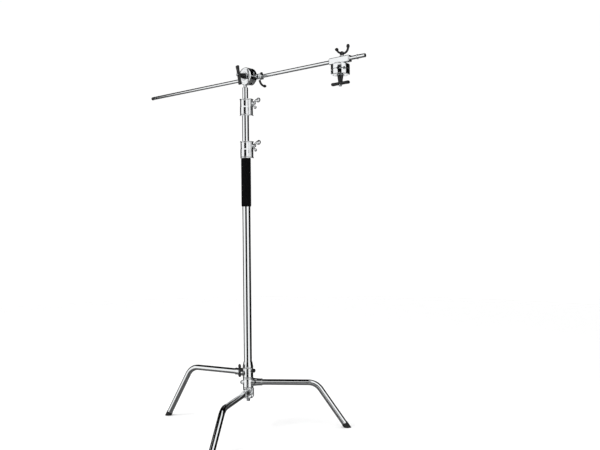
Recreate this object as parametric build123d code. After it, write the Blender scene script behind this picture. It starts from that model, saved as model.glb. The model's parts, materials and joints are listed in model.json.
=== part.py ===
from build123d import *
import os
from math import atan2, cos, degrees, radians, sin, sqrt, tan

# Century stand: three nested legs, a three-stage column, and a boom held by two grip heads.
# Millimetres. The column stands on the Z axis, the feet rest on z = 0, the boom lies along X.

# ---- column -------------------------------------------------------------------------------
BASE_TUBE_R = 17.5
BASE_TUBE_WALL = 1.6
MIDDLE_TUBE_R = 15.0
MIDDLE_TUBE_WALL = 1.5
TOP_TUBE_R = 12.5
TOP_TUBE_WALL = 1.5
TUBE_SLIDE = 0.15  # radial clearance where a tube slides through a collar
BUSH_SLIDE = 0.10  # radial clearance of a guide bush in the tube around it
BUSH_LENGTH = 40.0

BASE_TUBE_FOOT = 126.0  # lower end of the base tube
GRIP_BOTTOM = 952.0
GRIP_LENGTH = 209.0
GRIP_R = 21.2
MIDDLE_SHOWN = 110.0  # bare middle tube between the two collars
TOP_SHOWN = 51.0  # bare top tube above the upper collar
MIDDLE_TUBE_LENGTH = 1060.0
TOP_TUBE_LENGTH = 1006.0

# ---- collars ------------------------------------------------------------------------------
COLLAR_HEIGHT = 73.0
COLLAR_R = 23.2
COLLAR_FLANGE_R = 25.0
COLLAR_FLANGE = 4.0
COLLAR_SEAT = 39.0  # how deep the collar sits on its own tube
COLLAR_BOSS_REACH = 31.0
COLLAR_BOSS_WIDTH = 24.0
COLLAR_BOSS_LIP = 2.5
COLLAR_AZ = 21.0
SLIT_WIDTH = 2.0
CLAMP_SCREW_R = 4.0
CLAMP_SCREW_RISE = 14.0  # clamp screw above the seat of the lower tube
SET_SCREW_R = 3.5
SET_SCREW_DROP = 23.0  # set screw below the clamp screw
PAD_R = 5.5
PAD_LENGTH = 3.0
SCREW_GAP = 0.1  # radial clearance of a clamp screw in its thread
TIP_GAP = 0.3  # clamp screw or pad to the surface that it locks

# ---- hub and legs -------------------------------------------------------------------------
HUB_R = 23.0
HUB_BORE_GAP = 0.1
LEG_R = 12.5
LEG_WALL = 1.5
LEG_AXIS_Z = {"front": 150.0, "middle": 192.0, "top": 234.0}
FRONT_LEG_AZ = -63.5
LEG_SPREAD = 101.0  # how far each moving leg stands from the front leg
CASTING_HALF = 20.5
CASTING_ROUND = 1.5
HUB_WASHER = 1.0
LEG_CORNER_R = 295.0
LEG_BEND = 65.0
FOOT_CIRCLE_R = 428.0
LEG_ROOT_R = 24.0
SOCKET_REACH = 62.0
SOCKET_ROOT_R = 18.0
SOCKET_MOUTH_R = 14.6
LEG_SCREW_AT = 34.0
LEG_SCREW_R = 2.5
LEG_SCREW_HEAD_R = 4.5
LEG_SCREW_HEAD = 2.8
LEG_SCREW_HEX_R = 1.7
LEG_SCREW_SEAT = 16.2
CAP_R = 13.6
CAP_COVER = 10.0
CAP_SOLE = 3.0  # rubber between the leg's lowest edge and the floor
TOP_NECK = 4.0
BELL_HEIGHT = 23.0
BELL_LIP = 3.5
BELL_TOP_R = 18.7

LOCK_AZ = 255.0
LOCK_Z = 246.0
LOCK_BOSS_R = 9.0
LOCK_BOSS_REACH = 28.0
LOCK_HANDLE_AT = 41.0
LOCK_NECK_R = 7.5
LOBE_R = 8.5
LOBE_OFFSET = 19.5
LOBE_THICKNESS = 9.0
PLUNGER_AZ = 0.0
PLUNGER_Z = 245.0
PLUNGER_PIN_R = 3.0
PLUNGER_BOSS_R = 8.0
PLUNGER_BOSS_REACH = 27.0
PLUNGER_KNOB_R = 9.0
PLUNGER_KNOB_LENGTH = 11.0
STOP_BOSS_AZ = 232.0
STOP_BOSS_R = 9.0
STOP_BOSS_REACH = 31.0
STOP_SCREW_TIP_GAP = 2.5
STOP_SCREW_HEAD_R = 5.1
STOP_SCREW_HEAD = 3.0
STOP_SCREW_HEX_R = 2.2
STOP_RIB_AZ = 11.0
STOP_RIB_REACH = 5.5
STOP_RIB_WIDTH = 9.0
BASE_BOLT_R = 5.0
BASE_BOLT_HEAD_R = 8.0
BASE_BOLT_HEAD = 14.0
BASE_WASHER = 2.0
BASE_WASHER_R = 20.0
BASE_PLUG_LENGTH = 26.0

# ---- top stud, heads and boom -------------------------------------------------------------
STUD_R = 8.0
STUD_LENGTH = 80.0
STUD_NECK_R = 6.9
STUD_NECK_FROM = 34.0
STUD_NECK_LENGTH = 12.0
STUD_PLUG = 36.0
STUD_SHOULDER = 4.0
HEAD_ABOVE_STUD_FOOT = 44.0
BOOM_R = 8.0
BOOM_WALL = 1.5
BOOM_REAR = -700.0
BOOM_FRONT = 580.0
BOOM_CAP = 12.0
BOOM_STUD = 38.0
BOOM_STUD_SHOULDER = 3.0
BOOM_STUD_SHOULDER_R = 9.5
BOOM_PLUG = 18.0
HEAD_2_X = 497.0

JAW_R = 37.5
JAW_THICKNESS = 20.0
JAW_GAP = 1.0
GROOVE_OFFSET = 17.0
GROOVE_CLEARANCE = 0.15
GROOVE_RODS = {"x-": STUD_R, "x+": 6.0, "y+": 5.0, "y-": 3.25}  # rod radii of the four V grooves
HEAD_BOLT_R = 6.0
HEAD_BOLT_GAP = 0.3
HEAD_BOLT_SEAT = 4.0  # how deep the bolt sits in the receiver
RECEIVER_LENGTH = 100.0
RECEIVER_WIDTH = 24.0
RECEIVER_HEIGHT = 26.0
RECEIVER_BORE_GAP = 0.1
ROSETTE_R = 24.0
ROSETTE = 3.0
HEAD_WASHER_R = 14.0
HEAD_WASHER = 2.5
TEE_HUB_R = 11.5
TEE_HUB_LENGTH = 27.0
TEE_LENGTH = 85.0
TEE_WIDTH = 14.0
TEE_THICKNESS = 12.0
BOLT_SHOWN = 5.0
WING_BOSS_R = 9.0
WING_BOSS = 3.5
WING_SCREW_X = 9.0
WING_GAP = 2.0  # handle's hub to the boss that its screw enters
WING_HUB_R = 8.0
WING_HUB_LENGTH = 14.0
WING_WIDTH = 7.0
WING_DEPTH = 10.0
WING_TIP_R = 6.0
WING_LONG_ARM = ((2, 7), (21, 16), (28, 41))  # start, middle and tip: across the hub, along it
WING_SHORT_ARM = ((-2, 7), (-15, 10), (-24, 20))
WING_TURN = 38.0  # resting turn of the collars' wing handles
HEAD_1_TEE_TURN = 102.0
HEAD_1_WING_TURN = 90.0
HEAD_2_TEE_TURN = 0.0
HEAD_2_WING_TURN = 70.0

# ---- sizes that follow --------------------------------------------------------------------
COLLAR_1_Z = GRIP_BOTTOM + GRIP_LENGTH
COLLAR_2_Z = COLLAR_1_Z + COLLAR_HEIGHT + MIDDLE_SHOWN
STUD_FOOT_Z = COLLAR_2_Z + COLLAR_HEIGHT + TOP_SHOWN
HEAD_Z = STUD_FOOT_Z + HEAD_ABOVE_STUD_FOOT
BOOM_DROP = JAW_GAP / 2 + JAW_THICKNESS + ROSETTE + RECEIVER_HEIGHT / 2
BASE_TUBE_BORE = BASE_TUBE_R - BASE_TUBE_WALL
MIDDLE_TUBE_BORE = MIDDLE_TUBE_R - MIDDLE_TUBE_WALL
TOP_TUBE_BORE = TOP_TUBE_R - TOP_TUBE_WALL
LEG_AZ = {
    "front": FRONT_LEG_AZ,
    "middle": FRONT_LEG_AZ + LEG_SPREAD,
    "top": FRONT_LEG_AZ - LEG_SPREAD,
}
TEE_TOP = JAW_GAP / 2 + JAW_THICKNESS + HEAD_WASHER + TEE_HUB_LENGTH + TEE_THICKNESS - 2
BELL_Z = LEG_AXIS_Z["top"] + CASTING_HALF + TOP_NECK


# ---- small makers -------------------------------------------------------------------------
def rod(r, z0, z1):
    """Cylinder on the Z axis from z0 to z1."""
    return Pos(0, 0, z0) * Cylinder(r, z1 - z0, align=(Align.CENTER, Align.CENTER, Align.MIN))


def tube(r, bore, z0, z1):
    """Pipe on the Z axis from z0 to z1."""
    return rod(r, z0, z1) - rod(bore, z0, z1)


def cone(r0, r1, z0, z1):
    """Cone on the Z axis with radius r0 at z0 and r1 at z1."""
    return Pos(0, 0, z0) * Cone(r0, r1, z1 - z0, align=(Align.CENTER, Align.CENTER, Align.MIN))


def out_x(shape):
    """Turns a shape that stands on the Z axis so that it points along +X."""
    return Rot(0, 90, 0) * shape


def radial(shape, az, z):
    """Takes a shape built along +X at height 0 to azimuth az and height z."""
    return Pos(0, 0, z) * Rot(0, 0, az) * shape


# ---- legs and hub -------------------------------------------------------------------------
def leg_slope(leg):
    """Angle below the horizontal of the leg's sloping run."""
    return atan2(LEG_AXIS_Z[leg], FOOT_CIRCLE_R - LEG_CORNER_R)


def leg_end(leg):
    """Radius and height of the point where the leg tube is cut off."""
    slope = leg_slope(leg)
    z = LEG_R * cos(slope) + CAP_SOLE
    return FOOT_CIRCLE_R - z / tan(slope), z


def leg_tube(leg):
    """Bent leg tube along +X, with a hole for its cross screw."""
    z = LEG_AXIS_Z[leg]
    end_r, end_z = leg_end(leg)
    path = FilletPolyline((LEG_ROOT_R, 0, z), (LEG_CORNER_R, 0, z), (end_r, 0, end_z), radius=LEG_BEND)
    ring = Plane.YZ.offset(LEG_ROOT_R) * (Pos(0, z) * (Circle(LEG_R) - Circle(LEG_R - LEG_WALL)))
    return sweep(ring, path=path) - leg_screw_place(leg) * rod(LEG_SCREW_R, 0, LEG_SCREW_SEAT)


def leg_screw_place(leg):
    """Frame of the leg's cross screw: Z points out of the socket's side."""
    side = 1 if leg == "top" else -1
    return Pos(LEG_SCREW_AT, 0, LEG_AXIS_Z[leg]) * Rot(-90 * side, 0, 0)


def leg_screw(leg):
    """Button-headed screw that fixes the leg tube in its socket."""
    head = rod(LEG_SCREW_HEAD_R, LEG_SCREW_SEAT, LEG_SCREW_SEAT + LEG_SCREW_HEAD)
    head = fillet(head.edges().sort_by(Axis.Z)[-1], 1.2)
    socket = Pos(0, 0, LEG_SCREW_SEAT + 1.2) * RegularPolygon(LEG_SCREW_HEX_R, 6)
    socket = extrude(socket, amount=LEG_SCREW_HEAD)
    screw = head + rod(LEG_SCREW_R, LEG_R - LEG_WALL - 3, LEG_SCREW_SEAT) - socket
    return leg_screw_place(leg) * screw


def foot_cap(leg):
    """Rubber cup on the leg's end, cut flat on the floor."""
    slope = leg_slope(leg)
    end_r, end_z = leg_end(leg)
    place = Pos(end_r, 0, end_z) * Rot(0, 90 + degrees(slope), 0)
    cup = rod(CAP_R, -CAP_COVER, CAP_R + CAP_SOLE + 10)
    cup = fillet(cup.edges().sort_by(Axis.Z)[0], 0.8)
    cup = place * (cup - rod(LEG_R, -CAP_COVER, 0))
    floor = Pos(FOOT_CIRCLE_R, 0, -50) * Box(200, 200, 100)
    return cup - floor


def casting(leg, bore, up=0.0):
    """Hub ring with the tapered socket of one leg, along +X."""
    z = LEG_AXIS_Z[leg]
    ring = rod(HUB_R, z - CASTING_HALF, z + CASTING_HALF + up)
    ring = fillet(ring.edges().filter_by(GeomType.CIRCLE), CASTING_ROUND)
    socket = Pos(0, 0, z) * out_x(cone(SOCKET_ROOT_R, SOCKET_MOUTH_R, LEG_ROOT_R - 6, SOCKET_REACH))
    socket -= Pos(0, 0, z) * out_x(rod(LEG_R, LEG_ROOT_R, SOCKET_REACH + 1))
    body = ring + socket
    body -= Pos(0, 0, z) * out_x(rod(LEG_R, LEG_ROOT_R, SOCKET_REACH + 1))
    body -= rod(bore, z - CASTING_HALF - 1, z + CASTING_HALF + up + 1)
    place = leg_screw_place(leg)
    body -= place * rod(LEG_SCREW_R, 0, LEG_SCREW_SEAT + 1)
    body -= place * rod(LEG_SCREW_HEAD_R + 0.1, LEG_SCREW_SEAT, LEG_SCREW_SEAT + 6)
    return body


def bottom_casting():
    """Fixed casting of the front leg, with its stop rib."""
    z = LEG_AXIS_Z["front"]
    body = Rot(0, 0, LEG_AZ["front"]) * casting("front", BASE_TUBE_R)
    rib = Pos(HUB_R, 0, 0) * Box(2 * STOP_RIB_REACH, STOP_RIB_WIDTH, 2 * (CASTING_HALF - CASTING_ROUND))
    rib = radial(fillet(rib.edges(), CASTING_ROUND), STOP_RIB_AZ, z)
    return body + (rib - rod(HUB_R - 1, z - CASTING_HALF, z + CASTING_HALF))


def middle_casting():
    """Turning casting of the middle leg, with the boss of its stop screw."""
    z = LEG_AXIS_Z["middle"]
    bore = BASE_TUBE_R + HUB_BORE_GAP
    body = Rot(0, 0, LEG_AZ["middle"]) * casting("middle", bore)
    boss = radial(out_x(rod(STOP_BOSS_R, HUB_R - 5, STOP_BOSS_REACH)), STOP_BOSS_AZ, z)
    hole = radial(out_x(rod(SET_SCREW_R, BASE_TUBE_R + STOP_SCREW_TIP_GAP, STOP_BOSS_REACH + 1)), STOP_BOSS_AZ, z)
    return body + boss - hole - rod(bore, z - CASTING_HALF, z + CASTING_HALF)


def stop_screw():
    """Socket screw in the middle casting's boss."""
    shank = rod(SET_SCREW_R, BASE_TUBE_R + STOP_SCREW_TIP_GAP, STOP_BOSS_REACH)
    head = rod(STOP_SCREW_HEAD_R, STOP_BOSS_REACH, STOP_BOSS_REACH + STOP_SCREW_HEAD)
    head = fillet(head.edges().sort_by(Axis.Z)[-1], 0.8)
    socket = Pos(0, 0, STOP_BOSS_REACH + STOP_SCREW_HEAD / 2) * RegularPolygon(STOP_SCREW_HEX_R, 6)
    socket = extrude(socket, amount=STOP_SCREW_HEAD)
    return radial(out_x(shank + head - socket), STOP_BOSS_AZ, LEG_AXIS_Z["middle"])


def top_casting():
    """Turning casting of the top leg, with the bosses of the lock screw and the plunger."""
    z = LEG_AXIS_Z["top"]
    bore = BASE_TUBE_R + HUB_BORE_GAP
    body = Rot(0, 0, LEG_AZ["top"]) * casting("top", bore, TOP_NECK)
    lock_boss = rod(LOCK_BOSS_R, HUB_R - 5, LOCK_BOSS_REACH)
    lock_hole = rod(CLAMP_SCREW_R + SCREW_GAP, 0, LOCK_BOSS_REACH + 1)
    pin_boss = rod(PLUNGER_BOSS_R, HUB_R - 5, PLUNGER_BOSS_REACH)
    pin_hole = rod(PLUNGER_PIN_R + SCREW_GAP, 0, PLUNGER_BOSS_REACH + 1)
    body += radial(out_x(lock_boss), LOCK_AZ, LOCK_Z)
    body += radial(out_x(pin_boss), PLUNGER_AZ, PLUNGER_Z)
    body -= radial(out_x(lock_hole), LOCK_AZ, LOCK_Z)
    body -= radial(out_x(pin_hole), PLUNGER_AZ, PLUNGER_Z)
    return body - rod(bore, z - CASTING_HALF - 1, z + CASTING_HALF + TOP_NECK + 1)


def base_bell():
    """Flared ring that closes the hub around the base tube."""
    outline = Polyline((HUB_R, 0), (HUB_R, BELL_LIP), (BELL_TOP_R, BELL_HEIGHT), (BASE_TUBE_R, BELL_HEIGHT))
    outline += Polyline((BASE_TUBE_R, BELL_HEIGHT), (BASE_TUBE_R, 0), (HUB_R, 0))
    ring = revolve(Plane.XZ * make_face(outline), Axis.Z)
    return Pos(0, 0, BELL_Z) * ring


def lock_screw():
    """Screw that locks the top leg on the base tube."""
    screw = rod(CLAMP_SCREW_R, BASE_TUBE_R + TIP_GAP, LOCK_HANDLE_AT + LOBE_THICKNESS / 2 + 1)
    return radial(out_x(screw), LOCK_AZ, LOCK_Z)


def lock_handle():
    """Two-lobed handle on the lock screw."""
    lobes = Pos(LOBE_OFFSET, 0) * Circle(LOBE_R) + Pos(-LOBE_OFFSET, 0) * Circle(LOBE_R)
    outline = lobes + Rectangle(2 * LOBE_OFFSET, LOBE_R)
    bar = Pos(0, 0, LOCK_HANDLE_AT - LOBE_THICKNESS / 2) * extrude(outline, amount=LOBE_THICKNESS)
    bar = fillet(bar.edges().group_by(Axis.Z)[-1] + bar.edges().group_by(Axis.Z)[0], 1.5)
    neck = cone(LOCK_NECK_R, LOCK_NECK_R - 1.5, LOCK_BOSS_REACH + WING_GAP, LOCK_HANDLE_AT)
    handle = neck + bar - rod(CLAMP_SCREW_R, 0, LOCK_HANDLE_AT + LOBE_THICKNESS)
    return radial(out_x(handle), LOCK_AZ, LOCK_Z)


def plunger_pin():
    """Pin of the leg plunger."""
    tip = BASE_TUBE_R + TIP_GAP
    end = PLUNGER_BOSS_REACH + TIP_GAP + PLUNGER_KNOB_LENGTH - 2
    return radial(out_x(rod(PLUNGER_PIN_R, tip, end)), PLUNGER_AZ, PLUNGER_Z)


def plunger_knob():
    """Fluted pull knob of the leg plunger."""
    start = PLUNGER_BOSS_REACH + TIP_GAP
    knob = rod(PLUNGER_KNOB_R, start, start + PLUNGER_KNOB_LENGTH)
    knob = fillet(knob.edges().filter_by(GeomType.CIRCLE), 1.5)
    for turn in range(0, 360, 30):
        knob -= Rot(0, 0, turn) * Pos(PLUNGER_KNOB_R + 1.2, 0, 0) * rod(2, start, start + PLUNGER_KNOB_LENGTH)
    knob -= rod(PLUNGER_PIN_R, start, start + PLUNGER_KNOB_LENGTH - 2)
    return radial(out_x(knob), PLUNGER_AZ, PLUNGER_Z)


def hub_washer(below):
    """Thin washer on top of one leg's casting."""
    z = LEG_AXIS_Z[below] + CASTING_HALF
    return tube(HUB_R - 1.5, BASE_TUBE_R, z, z + HUB_WASHER)


def base_plug():
    """Threaded plug in the foot of the base tube."""
    plug = rod(BASE_TUBE_BORE, BASE_TUBE_FOOT, BASE_TUBE_FOOT + BASE_PLUG_LENGTH)
    return plug - rod(BASE_BOLT_R, BASE_TUBE_FOOT, BASE_TUBE_FOOT + BASE_PLUG_LENGTH)


def base_washer():
    """Large washer under the hub."""
    return tube(BASE_WASHER_R, BASE_BOLT_R, BASE_TUBE_FOOT - BASE_WASHER, BASE_TUBE_FOOT)


def base_bolt():
    """Hexagon bolt that closes the column from below."""
    seat = BASE_TUBE_FOOT - BASE_WASHER
    head = extrude(Pos(0, 0, seat - BASE_BOLT_HEAD) * RegularPolygon(BASE_BOLT_HEAD_R, 6), amount=BASE_BOLT_HEAD)
    return head + rod(BASE_BOLT_R, seat, BASE_TUBE_FOOT + BASE_PLUG_LENGTH - 3)


# ---- column -------------------------------------------------------------------------------
def collar(z, own_r, inner_r):
    """Clamp collar at height z: sits on a tube of radius own_r and guides one of radius inner_r."""
    seat = COLLAR_SEAT
    screw_z = seat + CLAMP_SCREW_RISE
    body = rod(COLLAR_R, 0, COLLAR_HEIGHT)
    boss = Pos(COLLAR_BOSS_REACH / 2, 0, COLLAR_HEIGHT / 2)
    body += boss * Box(COLLAR_BOSS_REACH, COLLAR_BOSS_WIDTH, COLLAR_HEIGHT)
    body = fillet(body.edges().filter_by(Axis.Z).sort_by(Axis.X)[-2:], 4)
    for start in (0, COLLAR_HEIGHT - COLLAR_FLANGE):
        flange = rod(COLLAR_FLANGE_R, start, start + COLLAR_FLANGE)
        lip = COLLAR_BOSS_REACH + COLLAR_BOSS_LIP
        plate = Box(lip, COLLAR_BOSS_WIDTH + 3, COLLAR_FLANGE, align=(Align.MIN, Align.CENTER, Align.MIN))
        plate = fillet(plate.edges().filter_by(Axis.Z).sort_by(Axis.X)[-2:], 5)
        body += flange + Pos(0, 0, start) * plate
    body -= rod(own_r, 0, seat)
    body -= rod(inner_r + TUBE_SLIDE, seat, COLLAR_HEIGHT)
    slit = Box(COLLAR_R + 6, SLIT_WIDTH, COLLAR_HEIGHT - seat, align=(Align.MAX, Align.CENTER, Align.MIN))
    body -= Pos(0, 0, seat) * slit
    body -= Pos(0, 0, screw_z) * out_x(rod(CLAMP_SCREW_R + SCREW_GAP, 0, COLLAR_BOSS_REACH + 9))
    body -= Pos(0, 0, screw_z) * out_x(rod(PAD_R + SCREW_GAP, 0, inner_r + TIP_GAP + PAD_LENGTH + 1))
    set_hole = out_x(rod(SET_SCREW_R, 0, COLLAR_BOSS_REACH + 9))
    body -= Pos(0, 0, screw_z - SET_SCREW_DROP) * set_hole
    return radial(body, COLLAR_AZ, z)


def collar_pad(z, inner_r):
    """Brass pad between the clamp screw and the sliding tube."""
    pad = rod(PAD_R, inner_r + TIP_GAP, inner_r + TIP_GAP + PAD_LENGTH)
    return radial(out_x(pad), COLLAR_AZ, z + COLLAR_SEAT + CLAMP_SCREW_RISE)


def set_screw(z, own_r):
    """Socket set screw that fixes a collar on its own tube."""
    end = COLLAR_BOSS_REACH + 1.2
    screw = rod(SET_SCREW_R, own_r, end) - extrude(Pos(0, 0, end - 2.5) * RegularPolygon(2, 6), amount=4)
    return radial(out_x(screw), COLLAR_AZ, z + COLLAR_SEAT + CLAMP_SCREW_RISE - SET_SCREW_DROP)


def wing_arm(start, middle, tip):
    """One swept arm of a wing handle in the XZ plane, with a ball at its tip."""
    outline = Plane.XZ * SlotArc(ThreePointArc(start, middle, tip), WING_WIDTH)
    arm = extrude(outline, amount=WING_DEPTH / 2, both=True)
    arm = fillet(arm.edges().group_by(Axis.Y)[0] + arm.edges().group_by(Axis.Y)[-1], 2)
    return arm + Pos(tip[0], 0, tip[1]) * Sphere(WING_TIP_R)


def wing():
    """Swept two-armed handle on the Z axis: a long arm towards +X, a short one towards -X."""
    hub = cone(WING_HUB_R, WING_HUB_R - 2, 0, WING_HUB_LENGTH)
    arms = wing_arm(*WING_LONG_ARM) + wing_arm(*WING_SHORT_ARM)
    return hub + arms - rod(CLAMP_SCREW_R, 0, WING_HUB_LENGTH - 2)


def collar_wing_place(z):
    """Frame of a collar's wing handle: Z points away from the column."""
    out = COLLAR_BOSS_REACH + WING_GAP
    return radial(Pos(out, 0, 0) * Rot(0, 90, 0) * Rot(0, 0, 180 - WING_TURN), COLLAR_AZ, z)


def top_stud():
    """Plug and stud at the head of the top tube."""
    foot = STUD_FOOT_Z
    plug = rod(TOP_TUBE_BORE, foot - STUD_PLUG, foot - STUD_SHOULDER)
    shoulder = rod(TOP_TUBE_R, foot - STUD_SHOULDER, foot)
    shoulder = chamfer(shoulder.edges().sort_by(Axis.Z)[-1], 1.5)
    pin = rod(STUD_R, foot, foot + STUD_LENGTH)
    pin = chamfer(pin.edges().sort_by(Axis.Z)[-1], 1.5)
    neck_z = foot + STUD_NECK_FROM
    pin -= tube(STUD_R + 1, STUD_NECK_R, neck_z, neck_z + STUD_NECK_LENGTH)
    return plug + shoulder + pin


# ---- grip head ----------------------------------------------------------------------------
# A head is built on its own frame: Z is the clamp axis and points to the T-handle, X runs
# along the receiver's bore, and z = 0 is the plane where the two jaws meet.
def groove(side, rod_r):
    """V groove of one jaw pair for a rod of radius rod_r, as a square bar laid on its edge."""
    half = (rod_r + GROOVE_CLEARANCE) * 2
    bar = Rot(0, 0, 45) * Box(half, half, 2 * JAW_R + 10)
    offset = GROOVE_OFFSET if side[1] == "+" else -GROOVE_OFFSET
    if side[0] == "x":
        return Pos(offset, 0, 0) * Rot(90, 0, 0) * bar
    return Pos(0, offset, 0) * Rot(0, 90, 0) * bar


def jaw(side):
    """Round jaw with four V grooves: side 1 is the outer jaw, side -1 the inner one."""
    disc = rod(JAW_R, JAW_GAP / 2, JAW_GAP / 2 + JAW_THICKNESS)
    disc = chamfer(disc.edges().filter_by(GeomType.CIRCLE).sort_by(Axis.Z)[-1], 2.5)
    face = JAW_GAP / 2 + JAW_THICKNESS
    disc -= tube(JAW_R - 8, JAW_R - 10, face - 1, face)
    disc -= rod(HEAD_BOLT_R + HEAD_BOLT_GAP, 0, face + 1)
    if side < 0:
        disc = Rot(180, 0, 0) * disc
    for name, rod_r in GROOVE_RODS.items():
        disc -= groove(name, rod_r)
    return disc


def receiver():
    """Barrel that holds the boom, with the rosette that carries the inner jaw."""
    block = Pos(0, 0, -BOOM_DROP) * Box(RECEIVER_LENGTH, RECEIVER_WIDTH, RECEIVER_HEIGHT)
    block = fillet(block.edges().filter_by(Axis.X), 5)
    back = -BOOM_DROP - RECEIVER_HEIGHT / 2
    front = -BOOM_DROP + RECEIVER_HEIGHT / 2
    body = block + rod(ROSETTE_R, front, front + ROSETTE)
    body += Pos(WING_SCREW_X, 0, 0) * rod(WING_BOSS_R, back - WING_BOSS, back + 3)
    bore = BOOM_R + RECEIVER_BORE_GAP
    body -= Pos(-RECEIVER_LENGTH, 0, -BOOM_DROP) * out_x(rod(bore, 0, 2 * RECEIVER_LENGTH))
    body -= Pos(WING_SCREW_X, 0, 0) * rod(CLAMP_SCREW_R + SCREW_GAP, back - WING_BOSS, back + 6)
    return body - rod(HEAD_BOLT_R, front - HEAD_BOLT_SEAT, front + ROSETTE)


def head_bolt():
    """Bolt fixed in the rosette, through both jaws to the T-handle."""
    front = -BOOM_DROP + RECEIVER_HEIGHT / 2
    bolt = rod(HEAD_BOLT_R, front - HEAD_BOLT_SEAT, TEE_TOP + BOLT_SHOWN)
    return chamfer(bolt.edges().sort_by(Axis.Z)[-1], 1.2)


def head_washer():
    """Washer between the outer jaw and the T-handle."""
    face = JAW_GAP / 2 + JAW_THICKNESS
    return tube(HEAD_WASHER_R, HEAD_BOLT_R + HEAD_BOLT_GAP, face, face + HEAD_WASHER)


def tee_handle(turn):
    """T-handle whose bar is turned by an angle about the clamp axis."""
    foot = JAW_GAP / 2 + JAW_THICKNESS + HEAD_WASHER
    hub = cone(TEE_HUB_R, TEE_HUB_R - 3, foot, foot + TEE_HUB_LENGTH)
    bar = extrude(SlotOverall(TEE_LENGTH, TEE_WIDTH), amount=TEE_THICKNESS)
    bar = fillet(bar.edges().group_by(Axis.Z)[-1] + bar.edges().group_by(Axis.Z)[0], 3.5)
    handle = hub + Pos(0, 0, TEE_TOP - TEE_THICKNESS) * bar
    return Rot(0, 0, turn) * (handle - rod(HEAD_BOLT_R + HEAD_BOLT_GAP, 0, TEE_TOP + 1))


def head_wing_screw():
    """Clamp screw that locks the boom in the receiver."""
    tip = -BOOM_DROP - BOOM_R - TIP_GAP
    back = -BOOM_DROP - RECEIVER_HEIGHT / 2 - WING_BOSS - WING_GAP - WING_HUB_LENGTH + 2
    return Pos(WING_SCREW_X, 0, 0) * rod(CLAMP_SCREW_R, back, tip)


def head_wing(turn):
    """Wing handle of the receiver's clamp screw."""
    back = -BOOM_DROP - RECEIVER_HEIGHT / 2 - WING_BOSS - WING_GAP
    return Pos(WING_SCREW_X, 0, back) * Rot(180, 0, 0) * Rot(0, 0, turn) * wing()


def grip_head(prefix, place, tee_turn, wing_turn):
    """Every piece of one grip head, moved to its place."""
    pieces = {
        "jaw_inner": jaw(-1),
        "jaw_outer": jaw(1),
        "washer": head_washer(),
        "receiver": receiver(),
        "bolt": head_bolt(),
        "tee_handle": tee_handle(tee_turn),
        "wing_screw": head_wing_screw(),
        "wing": head_wing(wing_turn),
    }
    return {f"{prefix}_{name}": place * piece for name, piece in pieces.items()}


# ---- boom ---------------------------------------------------------------------------------
def boom_tube():
    """Boom tube along X."""
    return out_x(tube(BOOM_R, BOOM_R - BOOM_WALL, BOOM_REAR, BOOM_FRONT))


def boom_rear_cap():
    """Black cap that closes the boom's rear end."""
    cap = rod(BOOM_R, BOOM_REAR - BOOM_CAP, BOOM_REAR)
    cap = fillet(cap.edges().sort_by(Axis.Z)[0], 2)
    return out_x(cap + rod(BOOM_R - BOOM_WALL, BOOM_REAR, BOOM_REAR + BOOM_PLUG))


def boom_front_stud():
    """Solid stud in the boom's front end, with a shoulder against the tube."""
    stud = rod(BOOM_R, BOOM_FRONT + BOOM_STUD_SHOULDER, BOOM_FRONT + BOOM_STUD)
    stud = chamfer(stud.edges().sort_by(Axis.Z)[-1], 1)
    shoulder = rod(BOOM_STUD_SHOULDER_R, BOOM_FRONT, BOOM_FRONT + BOOM_STUD_SHOULDER)
    return out_x(stud + shoulder + rod(BOOM_R - BOOM_WALL, BOOM_FRONT - BOOM_PLUG, BOOM_FRONT))


# ---- assembly -----------------------------------------------------------------------------
def build_base():
    """Base tube, hub, legs and their locks."""
    nodes = {
        "base_tube": tube(BASE_TUBE_R, BASE_TUBE_BORE, BASE_TUBE_FOOT, COLLAR_1_Z + COLLAR_SEAT),
        "base_plug": base_plug(),
        "base_washer": base_washer(),
        "base_bolt": base_bolt(),
        "base_bell": base_bell(),
        "hub_washer_lower": hub_washer("front"),
        "hub_washer_upper": hub_washer("middle"),
        "foam_grip": tube(GRIP_R, BASE_TUBE_R, GRIP_BOTTOM, GRIP_BOTTOM + GRIP_LENGTH),
        "front_casting": bottom_casting(),
        "middle_casting": middle_casting(),
        "middle_stop_screw": stop_screw(),
        "top_casting": top_casting(),
        "leg_lock_screw": lock_screw(),
        "leg_lock_handle": lock_handle(),
        "leg_plunger_pin": plunger_pin(),
        "leg_plunger_knob": plunger_knob(),
    }
    for leg, az in LEG_AZ.items():
        nodes[f"{leg}_leg_tube"] = Rot(0, 0, az) * leg_tube(leg)
        nodes[f"{leg}_leg_screw"] = Rot(0, 0, az) * leg_screw(leg)
        nodes[f"{leg}_foot_cap"] = Rot(0, 0, az) * foot_cap(leg)
    return nodes


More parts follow.
